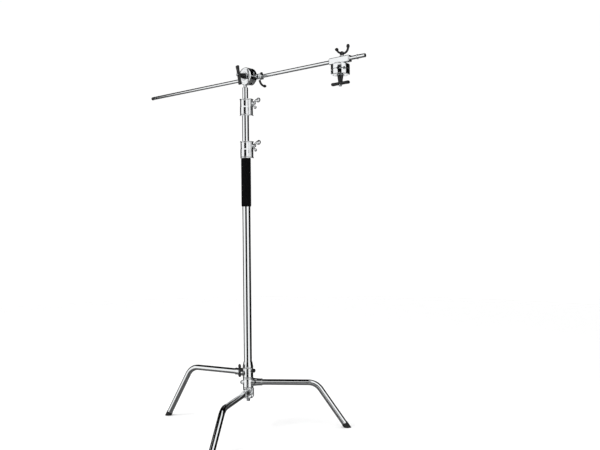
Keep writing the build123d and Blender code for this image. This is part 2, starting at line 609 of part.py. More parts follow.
def build_column():
    """The two sliding tubes, their collars, clamp screws and the top stud."""
    middle_top = COLLAR_2_Z + COLLAR_SEAT
    top_top = STUD_FOOT_Z - STUD_SHOULDER
    middle_foot = middle_top - MIDDLE_TUBE_LENGTH
    top_foot = top_top - TOP_TUBE_LENGTH
    nodes = {
        "middle_tube": tube(MIDDLE_TUBE_R, MIDDLE_TUBE_BORE, middle_foot, middle_top),
        "middle_tube_bush": tube(
            BASE_TUBE_BORE - BUSH_SLIDE, MIDDLE_TUBE_R, middle_foot, middle_foot + BUSH_LENGTH
        ),
        "top_tube": tube(TOP_TUBE_R, TOP_TUBE_BORE, top_foot, top_top),
        "top_tube_bush": tube(
            MIDDLE_TUBE_BORE - BUSH_SLIDE, TOP_TUBE_R, top_foot, top_foot + BUSH_LENGTH
        ),
        "top_stud": top_stud(),
    }
    collars = (
        ("collar_1", COLLAR_1_Z, BASE_TUBE_R, MIDDLE_TUBE_R),
        ("collar_2", COLLAR_2_Z, MIDDLE_TUBE_R, TOP_TUBE_R),
    )
    for name, z, own_r, inner_r in collars:
        screw_z = z + COLLAR_SEAT + CLAMP_SCREW_RISE
        tip = inner_r + TIP_GAP + PAD_LENGTH
        end = COLLAR_BOSS_REACH + WING_GAP + WING_HUB_LENGTH - 2
        nodes[name] = collar(z, own_r, inner_r)
        nodes[f"{name}_pad"] = collar_pad(z, inner_r)
        nodes[f"{name}_set_screw"] = set_screw(z, own_r)
        nodes[f"{name}_wing_screw"] = radial(out_x(rod(CLAMP_SCREW_R, tip, end)), COLLAR_AZ, screw_z)
        nodes[f"{name}_wing"] = collar_wing_place(screw_z) * wing()
    return nodes


def build_boom():
    """The boom and the two grip heads."""
    boom_place = Pos(0, BOOM_DROP, HEAD_Z)
    nodes = {
        "boom_tube": boom_place * boom_tube(),
        "boom_rear_cap": boom_place * boom_rear_cap(),
        "boom_front_stud": boom_place * boom_front_stud(),
    }
    head_1 = Plane(origin=(GROOVE_OFFSET, 0, HEAD_Z), x_dir=(1, 0, 0), z_dir=(0, -1, 0)).location
    head_2 = Plane(
        origin=(HEAD_2_X, BOOM_DROP, HEAD_Z - BOOM_DROP), x_dir=(1, 0, 0), z_dir=(0, 0, -1)
    ).location
    nodes |= grip_head("head_1", head_1, HEAD_1_TEE_TURN, HEAD_1_WING_TURN)
    nodes |= grip_head("head_2", head_2, HEAD_2_TEE_TURN, HEAD_2_WING_TURN)
    return nodes


NODES = build_base() | build_column() | build_boom()
os.makedirs("parts", exist_ok=True)
for node_name, shape in NODES.items():
    export_step(shape, f"parts/{node_name}.step")
print(len(NODES), "nodes")
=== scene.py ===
import json
from math import atan2, cos, degrees, hypot, pi, radians, sin, tan

import bmesh
import bpy
from mathutils import Matrix, Vector


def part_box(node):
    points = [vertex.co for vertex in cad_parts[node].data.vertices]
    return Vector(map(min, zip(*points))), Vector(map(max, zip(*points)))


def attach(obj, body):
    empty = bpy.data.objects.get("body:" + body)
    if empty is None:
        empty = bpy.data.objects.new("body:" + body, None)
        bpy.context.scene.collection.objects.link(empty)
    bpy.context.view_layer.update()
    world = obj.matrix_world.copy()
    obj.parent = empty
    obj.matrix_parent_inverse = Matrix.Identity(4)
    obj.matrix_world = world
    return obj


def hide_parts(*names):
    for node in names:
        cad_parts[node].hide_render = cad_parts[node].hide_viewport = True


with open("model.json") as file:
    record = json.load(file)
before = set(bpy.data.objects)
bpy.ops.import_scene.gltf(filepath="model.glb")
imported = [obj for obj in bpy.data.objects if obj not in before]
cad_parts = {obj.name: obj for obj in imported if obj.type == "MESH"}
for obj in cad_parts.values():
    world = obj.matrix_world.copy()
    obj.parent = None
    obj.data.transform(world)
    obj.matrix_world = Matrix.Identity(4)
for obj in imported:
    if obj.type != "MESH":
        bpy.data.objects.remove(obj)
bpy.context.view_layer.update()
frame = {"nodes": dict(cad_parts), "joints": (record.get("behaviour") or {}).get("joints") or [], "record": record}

bl_info = {
    "name": "Century Stand Looks",
    "version": (1, 0, 0),
    "blender": (4, 5, 0),
    "location": "View3D > Sidebar > Stand",
    "description": "Models and finishes a chromed century stand with a boom and two grip heads",
    "category": "Add Mesh",
}

MM = 0.001
RECORD = frame["record"]
BODY_OF = {node: body for body, nodes in RECORD["behaviour"]["bodies"].items() for node in nodes}
SLOT_OF = {part["node"]: part["material_slot"] for part in RECORD["subparts"]}
JOINTS = {joint["name"]: joint for joint in frame["joints"]}
LEGS = ("front", "middle", "top")
HEADS = ("head_1", "head_2")
COLLARS = ("collar_1", "collar_2")
COLLAR_TUBES = {"collar_1": ("base_tube", "middle_tube"), "collar_2": ("middle_tube", "top_tube")}

# Sizes that several pieces share, in millimetres unless a comment says otherwise.
SEAM = 0.000008  # in metres: points closer than this are one point
FINE_VOXEL = 0.0006  # in metres: grid on which the handles and receivers are blended
LOBE_VOXEL = 0.0005  # in metres: the same for the lock handle
UNEVEN = 0.00012  # in metres: how far the foam's skin strays
CLOSE_FIT = 0.02  # gaps between a bore and the tube in it
LOOSE_FIT = 0.05
CORE_R = 8.0  # inside of a cast ring before its bore is cut
COLLAR_R = 23.8
FLANGE_R = 25.0
SCREW_R = 4.0
SET_SCREW_R = 3.5
SCREW_END = 45.0  # clamp screws' ends from the column's axis
CAP_R = 13.6
BASE_BOLT_R = 5.0
STUD_R = 8.0  # studs and boom
PLUG_LENGTH = 18.0  # how far a plug goes into the boom
HEAD_BORE_R = 6.3
GRIP_RINGS = 60


# ---- reading the frame --------------------------------------------------------------------
def low(node, axis):
    """Lowest coordinate of a node along an axis, in millimetres."""
    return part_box(node)[0]["xyz".index(axis)] / MM


def high(node, axis):
    """Highest coordinate of a node along an axis, in millimetres."""
    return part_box(node)[1]["xyz".index(axis)] / MM


def centre_of(node, axis="z"):
    """Middle coordinate of a node along an axis, in millimetres."""
    return (low(node, axis) + high(node, axis)) / 2


def half_width(node, axis="y"):
    """Half a node's size across an axis, in millimetres."""
    return (high(node, axis) - low(node, axis)) / 2


def bearing(joint):
    """Direction of a horizontal joint axis, as an angle from +X."""
    x, y, _ = JOINTS[joint]["axis"]
    return atan2(y, x)


def joint_height(joint):
    """Height of a joint's point, in millimetres."""
    return JOINTS[joint]["pos_m"][2] / MM


# ---- sizes and colours that a user would change -------------------------------------------
def length(name, description, default_mm):
    """A length property whose default is given in millimetres."""
    return bpy.props.FloatProperty(
        name=name, description=description, default=default_mm * MM, unit="LENGTH", subtype="DISTANCE"
    )


def srgb(hex_code):
    """The linear colour of an sRGB hex code, as Blender's sockets want it."""
    parts = [int(hex_code[i : i + 2], 16) / 255 for i in (1, 3, 5)]
    return [c / 12.92 if c <= 0.04045 else ((c + 0.055) / 1.055) ** 2.4 for c in parts]


def colour(name, description, hex_code):
    """A colour property whose default is an sRGB hex code."""
    return bpy.props.FloatVectorProperty(
        name=name, description=description, default=srgb(hex_code), min=0, max=1, subtype="COLOR"
    )


class StandSizes(bpy.types.PropertyGroup):
    """Sizes of the column, the hub and the legs."""

    wall: length("Tube wall", "Wall thickness of every tube", 1.5)
    rim: length("Tube rim", "Rounding of a tube's cut end", 0.5)
    cast_voxel: length("Casting detail", "Grid on which a casting's pieces are blended", 0.7)
    grip_round: length("Grip rounding", "Rounding of the foam grip's lower end", 6.0)
    leg_bend: length("Leg bend", "Radius of a leg's bend, along the tube's middle", 65.0)
    leg_corner: length("Leg corner", "Distance of a leg's corner from the column", 295.0)
    foot_circle: length("Foot circle", "Distance of the feet from the column", 428.0)
    collar_waist: length("Collar waist", "How much narrower a collar is above its tube", 1.0)


class HeadSizes(bpy.types.PropertyGroup):
    """Sizes of the grip heads and the boom."""

    jaw_radius: length("Jaw radius", "Outer radius of the round jaws", 37.5)
    jaw_thickness: length("Jaw thickness", "Thickness of each jaw", 20.0)
    jaw_gap: length("Jaw gap", "Space between the closed jaws", 1.0)
    groove_offset: length("Groove offset", "Distance of the V grooves from the bolt", 17.0)
    tee_length: length("T-handle length", "Length of the T-handle's bar", 85.0)
    receiver_length: length("Receiver length", "Length of the block that the boom goes through", 100.0)


class Finishes(bpy.types.PropertyGroup):
    """Colours of the finishes."""

    chrome: colour("Chrome", "Polished chrome plating", "#F0F2F3")
    zinc: colour("Zinc plate", "Bright zinc plating", "#B9BCC0")
    brass: colour("Brass", "Turned brass", "#C9A24E")
    black_coat: colour("Black coating", "Satin black coating of the handles", "#141415")
    black_oxide: colour("Black oxide", "Black oxide on the small screws", "#2A2A2C")
    rubber: colour("Rubber", "Moulded black rubber", "#151515")
    foam: colour("Foam", "Foam rubber of the grip", "#060607")
    nylon: colour("Nylon", "Moulded black nylon", "#1C1C1D")
    floor: colour("Floor", "Pale studio floor", "#FAFAFA")


# ---- hand tools ---------------------------------------------------------------------------
def close_mesh():
    """Back from edit mode to object mode."""
    bpy.ops.object.mode_set(mode="OBJECT")


def clear_hands():
    """Object mode with nothing selected, so that an operator acts only on what it adds."""
    if bpy.context.mode != "OBJECT":
        close_mesh()
    bpy.ops.object.select_all(action="DESELECT")


def hold(*pieces):
    """Selects these pieces alone and makes the first one active."""
    clear_hands()
    for piece in pieces:
        piece.select_set(True)
    bpy.context.view_layer.objects.active = pieces[0]
    return pieces[0]


def named(name):
    """Names the primitive that was just added and puts its place into its mesh."""
    piece = bpy.context.object
    piece.name = piece.data.name = name
    bpy.ops.object.transform_apply(location=True, rotation=True, scale=True)
    return piece


def opened(piece, elements="VERT"):
    """Opens a piece in edit mode with everything selected."""
    hold(piece)
    bpy.ops.object.mode_set(mode="EDIT")
    bpy.ops.mesh.select_mode(type=elements)
    bpy.ops.mesh.select_all(action="SELECT")
    return piece


def drum(name, radius, bottom, top, sides=64):
    """Cylinder on the Z axis, in millimetres."""
    clear_hands()
    bpy.ops.mesh.primitive_cylinder_add(
        vertices=sides,
        radius=radius * MM,
        depth=(top - bottom) * MM,
        location=(0, 0, (bottom + top) / 2 * MM),
    )
    return named(name)


def block(name, size, centre):
    """Box of this size about a centre, in millimetres."""
    clear_hands()
    bpy.ops.mesh.primitive_cube_add(size=1, location=Vector(centre) * MM, scale=Vector(size) * MM)
    return named(name)


def ball(name, radii, centre):
    """Ellipsoid about a centre, in millimetres."""
    clear_hands()
    bpy.ops.mesh.primitive_uv_sphere_add(
        segments=32, ring_count=16, radius=1, location=Vector(centre) * MM, scale=Vector(radii) * MM
    )
    return named(name)


def lathe(name, outline, steps=72):
    """Turned piece: an outline of (radius, height) points in millimetres, spun round the Z axis."""
    clear_hands()
    radius, height = outline[0]
    bpy.ops.mesh.primitive_plane_add(size=MM, location=(radius * MM, 0, height * MM))
    piece = opened(named(name))
    bpy.ops.mesh.merge(type="CENTER")
    for (r0, z0), (r1, z1) in zip(outline, outline[1:]):
        bpy.ops.mesh.extrude_vertices_move(
            TRANSFORM_OT_translate={"value": ((r1 - r0) * MM, 0, (z1 - z0) * MM)}
        )
    bpy.ops.mesh.select_all(action="SELECT")
    bpy.ops.mesh.spin(steps=steps, angle=2 * pi, center=(0, 0, 0), axis=(0, 0, 1))
    tidy_shell()
    return piece


def tidy_shell():
    """Merges doubled points of the mesh being edited and turns its faces outwards."""
    bpy.ops.mesh.select_all(action="SELECT")
    bpy.ops.mesh.remove_doubles(threshold=SEAM)
    bpy.ops.mesh.normals_make_consistent(inside=False)
    close_mesh()


def pick(piece, test):
    """In edit mode, selects the faces whose centre (in millimetres) and normal pass a test."""
    hold(piece)
    bpy.ops.object.mode_set(mode="EDIT")
    bpy.ops.mesh.select_mode(type="FACE")
    bpy.ops.mesh.select_all(action="DESELECT")
    shell = bmesh.from_edit_mesh(piece.data)
    for face in shell.faces:
        face.select_set(test(face.calc_center_median() / MM, face.normal))
    bmesh.update_edit_mesh(piece.data)


def modified(piece, kind, **settings):
    """Adds one modifier to a piece, sets it and applies it."""
    hold(piece)
    modifier = piece.modifiers.new(kind.title(), kind)
    for key, value in settings.items():
        setattr(modifier, key, value)
    bpy.ops.object.modifier_apply(modifier=modifier.name)
    return piece


def eased(piece, width, segments=3, sharper_than=30):
    """Rounds every edge sharper than an angle; the width is in millimetres."""
    return modified(
        piece,
        "BEVEL",
        width=width * MM,
        segments=segments,
        limit_method="ANGLE",
        angle_limit=radians(sharper_than),
        use_clamp_overlap=True,
    )


def discard(*pieces):
    """Removes tools and patterns that have done their work."""
    for piece in pieces:
        bpy.data.objects.remove(piece)


def cut(piece, *tools):
    """Takes each tool's shape out of a piece."""
    for tool in tools:
        modified(piece, "BOOLEAN", operation="DIFFERENCE", solver="EXACT", object=tool)
        discard(tool)
    return piece


def gathered(*pieces):
    """One mesh of several overlapping shells."""
    hold(*pieces)
    bpy.ops.object.join()
    return pieces[0]


def cast(piece, voxel, rounds):
    """Blends overlapping shells into one casting with soft inner corners."""
    modified(piece, "REMESH", mode="VOXEL", voxel_size=voxel)
    return modified(piece, "SMOOTH", factor=0.5, iterations=rounds)


def moved(piece, place):
    """Takes a piece to its place and puts that place into its mesh."""
    hold(piece)
    piece.matrix_world = place
    bpy.ops.object.transform_apply(location=True, rotation=True, scale=True)
    return piece


def copy_of(piece, name):
    """A copy with its own mesh."""
    hold(piece)
    bpy.ops.object.duplicate(linked=False)
    twin = bpy.context.object
    twin.name = twin.data.name = name
    return twin


def turn_by(angle, axis="Z"):
    """Rotation about a main axis, by an angle in radians."""
    return Matrix.Rotation(angle, 4, axis)


def shifted(x=0, y=0, z=0):
    """Place moved away from the origin, in millimetres."""
    return Matrix.Translation((x * MM, y * MM, z * MM))


def frame_at(origin, out, along):
    """Place whose Z axis is the direction out and whose X axis is the direction along."""
    z_axis = Vector(out).normalized()
    x_axis = Vector(along).normalized()
    y_axis = z_axis.cross(x_axis)
    place = Matrix((x_axis, y_axis, z_axis)).transposed().to_4x4()
    place.translation = Vector(origin) * MM
    return place


def outward(angle, height):
    """Place on the column's axis whose Z axis points outwards at an angle and whose X axis is up."""
    return frame_at((0, 0, height), (cos(angle), sin(angle), 0), (0, 0, 1))


def hand_over(piece, node, shade_below=35):
    """Smooths a finished piece, gives it its finish and puts it in the place of its CAD node."""
    hold(piece)
    bpy.ops.object.shade_smooth_by_angle(angle=radians(shade_below))
    modified(piece, "WEIGHTED_NORMAL", weight=90, keep_sharp=True)
    piece.name = piece.data.name = f"{node}_finished"
    piece.data.materials.clear()
    piece.data.materials.append(finish_for(node))
    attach(piece, BODY_OF[node])
    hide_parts(node)
    clear_hands()


def pipe(name, radius, bore, bottom, top, rim, steps=96):
    """Open tube on the Z axis with eased rims, in millimetres."""
    outline = [(bore, bottom), (radius, bottom), (radius, top), (bore, top), (bore, bottom)]
    return eased(lathe(name, outline, steps), rim)


def hex_tool(width, bottom, top):
    """Six-sided tool for a socket or a bolt head, in millimetres."""
    return drum("hex_tool", width, bottom, top, sides=6)


# ---- finishes -----------------------------------------------------------------------------
def add_node(tree, kind, settings=None, **links):
    """Adds one shader node: settings are its own options or input values, links feed its inputs."""
    node = tree.nodes.new(kind)
    for key, value in (settings or {}).items():
        if key in node.inputs:
            node.inputs[key].default_value = value
        else:
            setattr(node, key, value)
    for key, source in links.items():
        tree.links.new(source, node.inputs[key.replace("_", " ")])
    return node


def per(size_mm):
    """Pattern scale whose features are this many millimetres across."""
    return 1 / (size_mm * MM)


def new_finish(name, base, **settings):
    """A material with its Principled shader and the piece's own coordinates."""
    material = bpy.data.materials.new(name)
    material.use_nodes = True
    tree = material.node_tree
    shader = tree.nodes["Principled BSDF"]
    shader.inputs["Base Color"].default_value = (*base, 1)
    for key, value in settings.items():
        shader.inputs[key.replace("_", " ")].default_value = value
    coordinates = add_node(tree, "ShaderNodeTexCoord").outputs["Object"]
    return material, tree, shader, coordinates


def patchy_gloss(tree, shader, where, size, detail, spread, roughness, **more):
    """Roughness that wanders between two values, in patches of a size in millimetres."""
    noise = {"Scale": per(size), "Detail": detail, **more}
    patches = add_node(tree, "ShaderNodeTexNoise", noise, Vector=where)
    limits = dict(zip(("From Min", "From Max", "To Min", "To Max"), (*spread, *roughness)))
    gloss = add_node(tree, "ShaderNodeMapRange", limits, Value=patches.outputs["Fac"])
    tree.links.new(gloss.outputs["Result"], shader.inputs["Roughness"])


def grained(tree, shader, where, size, detail, strength, depth):
    """Fine relief whose grains have a size and a depth in millimetres."""
    grains = add_node(tree, "ShaderNodeTexNoise", {"Scale": per(size), "Detail": detail}, Vector=where)
    bump = {"Strength": strength, "Distance": depth * MM}
    surface = add_node(tree, "ShaderNodeBump", bump, Height=grains.outputs["Fac"])
    tree.links.new(surface.outputs["Normal"], shader.inputs["Normal"])


def mottled(tree, shader, source, *stops):
    """Base colour that runs between two stops, each a position and a linear colour."""
    shades = add_node(tree, "ShaderNodeValToRGB", Fac=source)
    for element, (position, tone) in zip(shades.color_ramp.elements, stops):
        element.position = position
        element.color = (*tone, 1)
    tree.links.new(shades.outputs["Color"], shader.inputs["Base Color"])


def chromed(name, base, smudge, ripple, roughness):
    """Bright plating: smudges from handling and a faint ripple under the surface."""
    material, *made = new_finish(name, base, Metallic=1.0)
    patchy_gloss(*made, smudge, 5.0, (0.35, 0.75), roughness, Roughness=0.62)
    grained(*made, ripple, 2.0, 0.25, 0.04)
    return material


def tumbled(name, base, grain, roughness):
    """Tumbled and plated jaws: cloudy patches and a fine grain, softer than the tubes."""
    material, *made = new_finish(name, base, Metallic=1.0)
    patchy_gloss(*made, 18, 4.0, (0.3, 0.7), roughness)
    grained(*made, grain, 3.0, 0.12, 0.06)
    return material


def speckled(name, base, grain, depth, roughness, lighter, **settings):
    """A dull moulded or coated surface: fine grain, patches of sheen and a little pale dust."""
    material, tree, shader, where = new_finish(name, base, **settings)
    patchy_gloss(tree, shader, where, 25, 4.0, (0.3, 0.7), roughness)
    dust = add_node(tree, "ShaderNodeTexNoise", {"Scale": per(6), "Detail": 6.0}, Vector=where)
    dusty = [c * lighter for c in base]
    mottled(tree, shader, dust.outputs["Fac"], (0.42, base), (0.78, dusty))
    grained(tree, shader, where, grain, 2.0, 0.5, depth)
    return material


def foam_rubber(base):
    """Foam rubber: a dull skin of open cells that takes almost no highlight."""
    material, tree, shader, where = new_finish(
        "foam_rubber", base, Roughness=0.85, Specular_IOR_Level=0.12
    )
    # Real cells are about 0.3 mm across: drawn coarser so that they show.
    cells = add_node(tree, "ShaderNodeTexVoronoi", {"Scale": per(1.4), "Randomness": 1.0}, Vector=where)
    skin = add_node(tree, "ShaderNodeTexNoise", {"Scale": per(9), "Detail": 3.0}, Vector=where)
    deep = {"Strength": 0.6, "Distance": 0.0004}
    pits = add_node(tree, "ShaderNodeBump", deep, Height=cells.outputs["Distance"])
    wide = {"Strength": 0.35, "Distance": 0.0008}
    dents = add_node(
        tree, "ShaderNodeBump", wide, Height=skin.outputs["Fac"], Normal=pits.outputs["Normal"]
    )
    dark, light = ([c * share for c in base] for share in (0.7, 1.5))
    mottled(tree, shader, skin.outputs["Fac"], (0.35, dark), (0.7, light))
    tree.links.new(dents.outputs["Normal"], shader.inputs["Normal"])
    return material


CAST_NODES = ("front_casting", "middle_casting", "top_casting", "collar_1", "collar_2")
JAW_NODES = tuple(f"{head}_{jaw}" for head in HEADS for jaw in ("jaw_inner", "jaw_outer", "receiver"))
FINISH = {}


def mix_finishes(finishes):
    """Makes every finish once, from the panel's colours."""
    # Chrome on drawn tube: a mirror with the faint long ripple of the steel under it.
    FINISH["polished_chrome"] = chromed(
        "polished_chrome_plated_steel", finishes.chrome, 60, 14, (0.05, 0.12)
    )
    # Chrome on a die casting: the same mirror, broken by orange peel a few millimetres across.
    FINISH["cast_chrome"] = chromed("chrome_plated_die_casting", finishes.chrome, 30, 5, (0.08, 0.2))
    # Tumbled and chromed jaws: bright but blurred, so that flat faces glow evenly.
    FINISH["jaw_chrome"] = tumbled("tumbled_chrome_plated_zinc", finishes.chrome, 1.2, (0.08, 0.15))
    # Zinc plate: a cooler, greyer shine than chrome with soft highlights.
    FINISH["plain_steel"] = chromed("bright_zinc_plated_steel", finishes.zinc, 12, 2, (0.25, 0.4))
    # Brass as turned, dulled by handling.
    FINISH["brass"] = chromed("turned_brass", finishes.brass, 10, 1.5, (0.2, 0.35))
    # Black oxide: metal that stays dark and shows only small dull highlights.
    FINISH["blackened_screw"] = speckled(
        "black_oxide_steel", finishes.black_oxide, 0.8, 0.02, (0.35, 0.5), 1.6, Metallic=0.8
    )
    # Coated handles: a satin black with the slight orange peel of sprayed coating.
    FINISH["black_handle"] = speckled(
        "satin_black_coated_zinc", finishes.black_coat, 1.1, 0.05, (0.3, 0.45), 1.5
    )
    # Moulded rubber: dull, with a sandy mould skin and some floor dust.
    FINISH["black_rubber"] = speckled("moulded_rubber", finishes.rubber, 1.0, 0.12, (0.6, 0.8), 2.4)
    # Moulded nylon: a smoother black than rubber, with hardly any dust.
    FINISH["nylon"] = speckled("moulded_nylon", finishes.nylon, 1.5, 0.03, (0.4, 0.55), 1.3)
    # Foam rubber: open cells, the dullest surface of the stand.
    FINISH["foam_grip"] = foam_rubber(finishes.foam)


def finish_for(node):
    """The finish of one node's surface."""
    if node in CAST_NODES:
        return FINISH["cast_chrome"]
    if node in JAW_NODES:
        return FINISH["jaw_chrome"]
    return FINISH[SLOT_OF[node]]


class STAND_OT_finishes(bpy.types.Operator):
    """Makes the finishes and gives them to every CAD node"""

    bl_idname = "stand.finishes"
    bl_label = "Finishes"

    def execute(self, context):
        mix_finishes(context.scene.stand_finishes)
        for node, piece in frame["nodes"].items():
            piece.data.materials.clear()
            piece.data.materials.append(finish_for(node))
        return {"FINISHED"}


# ---- column -------------------------------------------------------------------------------
class STAND_OT_column_tubes(bpy.types.Operator):
    """Models the three chromed tubes of the column"""

    bl_idname = "stand.column_tubes"
    bl_label = "Column Tubes"

    def execute(self, context):
        sizes = context.scene.stand_sizes
        for node in ("base_tube", "middle_tube", "top_tube"):
            radius, ends = half_width(node), (low(node, "z"), high(node, "z"))
            tube = pipe(node, radius, radius - sizes.wall / MM, *ends, sizes.rim / MM)
            hand_over(tube, node)
        return {"FINISHED"}


class STAND_OT_foam_grip(bpy.types.Operator):
    """Models the foam sleeve, slightly uneven as stretched foam is, with a rounded lower end"""

    bl_idname = "stand.foam_grip"
    bl_label = "Foam Grip"

    def execute(self, context):
        node = "foam_grip"
        round_off = context.scene.stand_sizes.grip_round / MM
        radius, bottom, top = half_width(node), low(node, "z"), high(node, "z")
        bore = half_width("base_tube") + LOOSE_FIT
        outline = [(bore, bottom)]
        for angle in (radians(15 * step) for step in range(7)):
            across, up = round_off * (1 - sin(angle)) * 0.6, round_off * (1 - cos(angle))
            outline.append((radius - across, bottom + up))
        straight = top - bottom - round_off
        for ring in range(1, GRIP_RINGS + 1):
            outline.append((radius, bottom + round_off + straight * ring / GRIP_RINGS))
        outline += [(bore, top), (bore, bottom)]
        grip = lathe(node, outline, 64)
        pick(grip, lambda centre, normal: hypot(centre.x, centre.y) > radius - 1 and centre.z < top - 1)
        bpy.ops.transform.vertex_random(offset=UNEVEN, uniform=0.0, normal=1.0, seed=3)
        bpy.ops.mesh.vertices_smooth(factor=0.4, repeat=2)
        close_mesh()
        hand_over(grip, node, 60)
        return {"FINISHED"}


def collar_shape(name):
    """One clamp collar: flanged ring with a clamping boss, standing at height 0 with its boss at +X."""
    sizes = bpy.context.scene.stand_sizes
    height = high(name, "z") - low(name, "z")
    seat = height * 0.55
    waist = COLLAR_R - sizes.collar_waist / MM
    outline = [
        (CORE_R, 0), (FLANGE_R, 0), (FLANGE_R, 3.2), (22.7, 4.2), (22.7, 5.4), (COLLAR_R, 6.6),
        (COLLAR_R, seat - 4), (waist, seat + 1), (waist, height - 6.2), (22.4, height - 5.2),
        (22.4, height - 4.2), (FLANGE_R, height - 3.2), (FLANGE_R, height), (CORE_R, height), (CORE_R, 0),
    ]
    ring = lathe(name, outline, 96)
    boss = eased(block("boss", (24, 23, height - 4), (20, 0, height / 2)), 4, 4, 60)
    lips = [
        eased(block("boss_lip", (26, 26.5, 3.6), (20.5, 0, middle)), 1.2, 2, 60)
        for middle in (1.8, height - 1.8)
    ]
    return cast(gathered(ring, boss, *lips), sizes.cast_voxel, 4)


class STAND_OT_collars(bpy.types.Operator):
    """Models the two clamp collars with their slits, bores and screw holes"""

    bl_idname = "stand.collars"
    bl_label = "Clamp Collars"

    def execute(self, context):
        for node in COLLARS:
            own, inner = (half_width(tube) for tube in COLLAR_TUBES[node])
            foot, height = low(node, "z"), high(node, "z") - low(node, "z")
            seat = high(COLLAR_TUBES[node][0], "z") - foot
            collar = collar_shape(node)
            to_side = frame_at((0, 0, 0), (1, 0, 0), (0, 0, 1))
            holes = (
                (SCREW_R, joint_height(f"{node}_wing_turn") - foot),
                (SET_SCREW_R, centre_of(f"{node}_set_screw") - foot),
            )
            cut(
                collar,
                drum("own_bore", own + CLOSE_FIT, -1, seat, 96),
                drum("inner_bore", inner + 0.15, seat - 1, height + 1, 96),
                block("slit", (30, 2, height - seat), (-20, 0, (height + seat) / 2)),
                *(
                    moved(drum("hole", radius + 0.1, 0, SCREW_END), shifted(z=at) @ to_side)
                    for radius, at in holes
                ),
            )
            place = shifted(z=foot) @ turn_by(bearing(f"{node}_wing_turn"))
            hand_over(moved(collar, place), node, 40)
        return {"FINISHED"}


# ---- clamp screws and their handles -------------------------------------------------------
def arc_arm(name, centre, radius, start, sweep, half_thick, half_deep):
    """Bent arm in the XZ plane: an oval section spun about a centre from a starting angle."""
    clear_hands()
    angle = radians(start)
    at = Vector((centre[0] + radius * cos(angle), 0, centre[1] + radius * sin(angle)))
    bpy.ops.mesh.primitive_circle_add(vertices=24, radius=MM, fill_type="NGON", location=at * MM)
    arm = opened(named(name))
    bpy.ops.transform.resize(value=(half_thick, half_deep, 1), center_override=at * MM)
    close_mesh()
    lay = Matrix.Translation(at * MM) @ turn_by(-angle, "Y") @ Matrix.Translation(-at * MM)
    opened(moved(arm, lay))
    pivot = Vector((centre[0], 0, centre[1])) * MM
    bpy.ops.mesh.spin(steps=14, angle=radians(sweep), center=pivot, axis=(0, 1, 0))
    bpy.ops.mesh.select_all(action="SELECT")
    bpy.ops.mesh.fill_holes(sides=0)
    tidy_shell()
    return arm


def wing_shape(name, sweep, long_end, long_radii, short_end):
    """Swept two-armed handle on the Z axis: a long arm towards +X, a short one towards -X."""
    hub = lathe("hub", [(0, 0), (7.6, 0), (8.2, 1), (7.4, 9), (6.6, 13), (5.2, 14.5), (0, 14.5)], 48)
    long_arm = arc_arm("long_arm", (0.2, 35.3), 28.35, -82, sweep, 4.2, 5.4)
    short_arm = arc_arm("short_arm", (-3.7, 29.2), 22.3, -90, -60, 3.8, 5)
    long_tip = ball("long_tip", long_radii, long_end)
    short_tip = ball("short_tip", (7.2, 7.2, 6.3), short_end)
    handle = gathered(hub, long_arm, short_arm, long_tip, short_tip)
    handle.name = name
    return cast(handle, FINE_VOXEL, 8)


class STAND_OT_wing_handles(bpy.types.Operator):
    """Models the swept handles of the clamp screws, chromed on the collars and black on the heads"""

    bl_idname = "stand.wing_handles"
    bl_label = "Wing Handles"

    def execute(self, context):
        paddle = wing_shape("paddle_pattern", 40, (18.5, 0, 23), (12.5, 9, 9.5), (-26, 0, 20.4))
        lever = wing_shape("lever_pattern", 88, (28.4, 0, 38.6), (6.4, 7.6, 8.8), (-23.4, 0, 19.4))
        for node, place in wing_places().items():
            pattern = paddle if node.startswith("collar") else lever
            hand_over(moved(copy_of(pattern, node), place), node, 80)
        discard(paddle, lever)
        return {"FINISHED"}


COLLAR_WING_TURN = 38  # resting turns of the handles, in degrees
HEAD_WING_TURNS = {"head_1": 90, "head_2": 70}
COLLAR_WING_FOOT = 33  # from the column's axis
HEAD_WING_FOOT = (9, 0, -55)  # from the middle of a closed head


def wing_places():
    """Place of every swept handle: its Z axis along the screw, away from what it clamps."""
    places = {}
    for collar in COLLARS:
        joint = JOINTS[f"{collar}_wing_turn"]
        out = Vector(joint["axis"])
        foot = Vector((0, 0, joint["pos_m"][2])) / MM + out * COLLAR_WING_FOOT
        places[f"{collar}_wing"] = frame_at(foot, out, (0, 0, 1)) @ turn_by(radians(-COLLAR_WING_TURN))
    for head in HEADS:
        turn = turn_by(pi, "X") @ turn_by(radians(HEAD_WING_TURNS[head]))
        places[f"{head}_wing"] = head_place(head) @ shifted(*HEAD_WING_FOOT) @ turn
    return places


def head_place(head):
    """Frame of a grip head: Z along the clamp bolt to the T-handle, X along the boom."""
    tee, jaw = JOINTS[f"{head}_tee_turn"], f"{head}_jaw_inner"
    out = Vector(tee["axis"])
    bolt = Vector(tee["pos_m"]) / MM
    middle = Vector([(a + b) / 2 for a, b in zip(*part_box(jaw))]) / MM
    half = half_width(jaw, "yz"[head == "head_2"])
    origin = bolt + out * (out.dot(middle - bolt) + half + 0.5)
    return frame_at(origin, out, JOINTS["boom_slide"]["axis"])


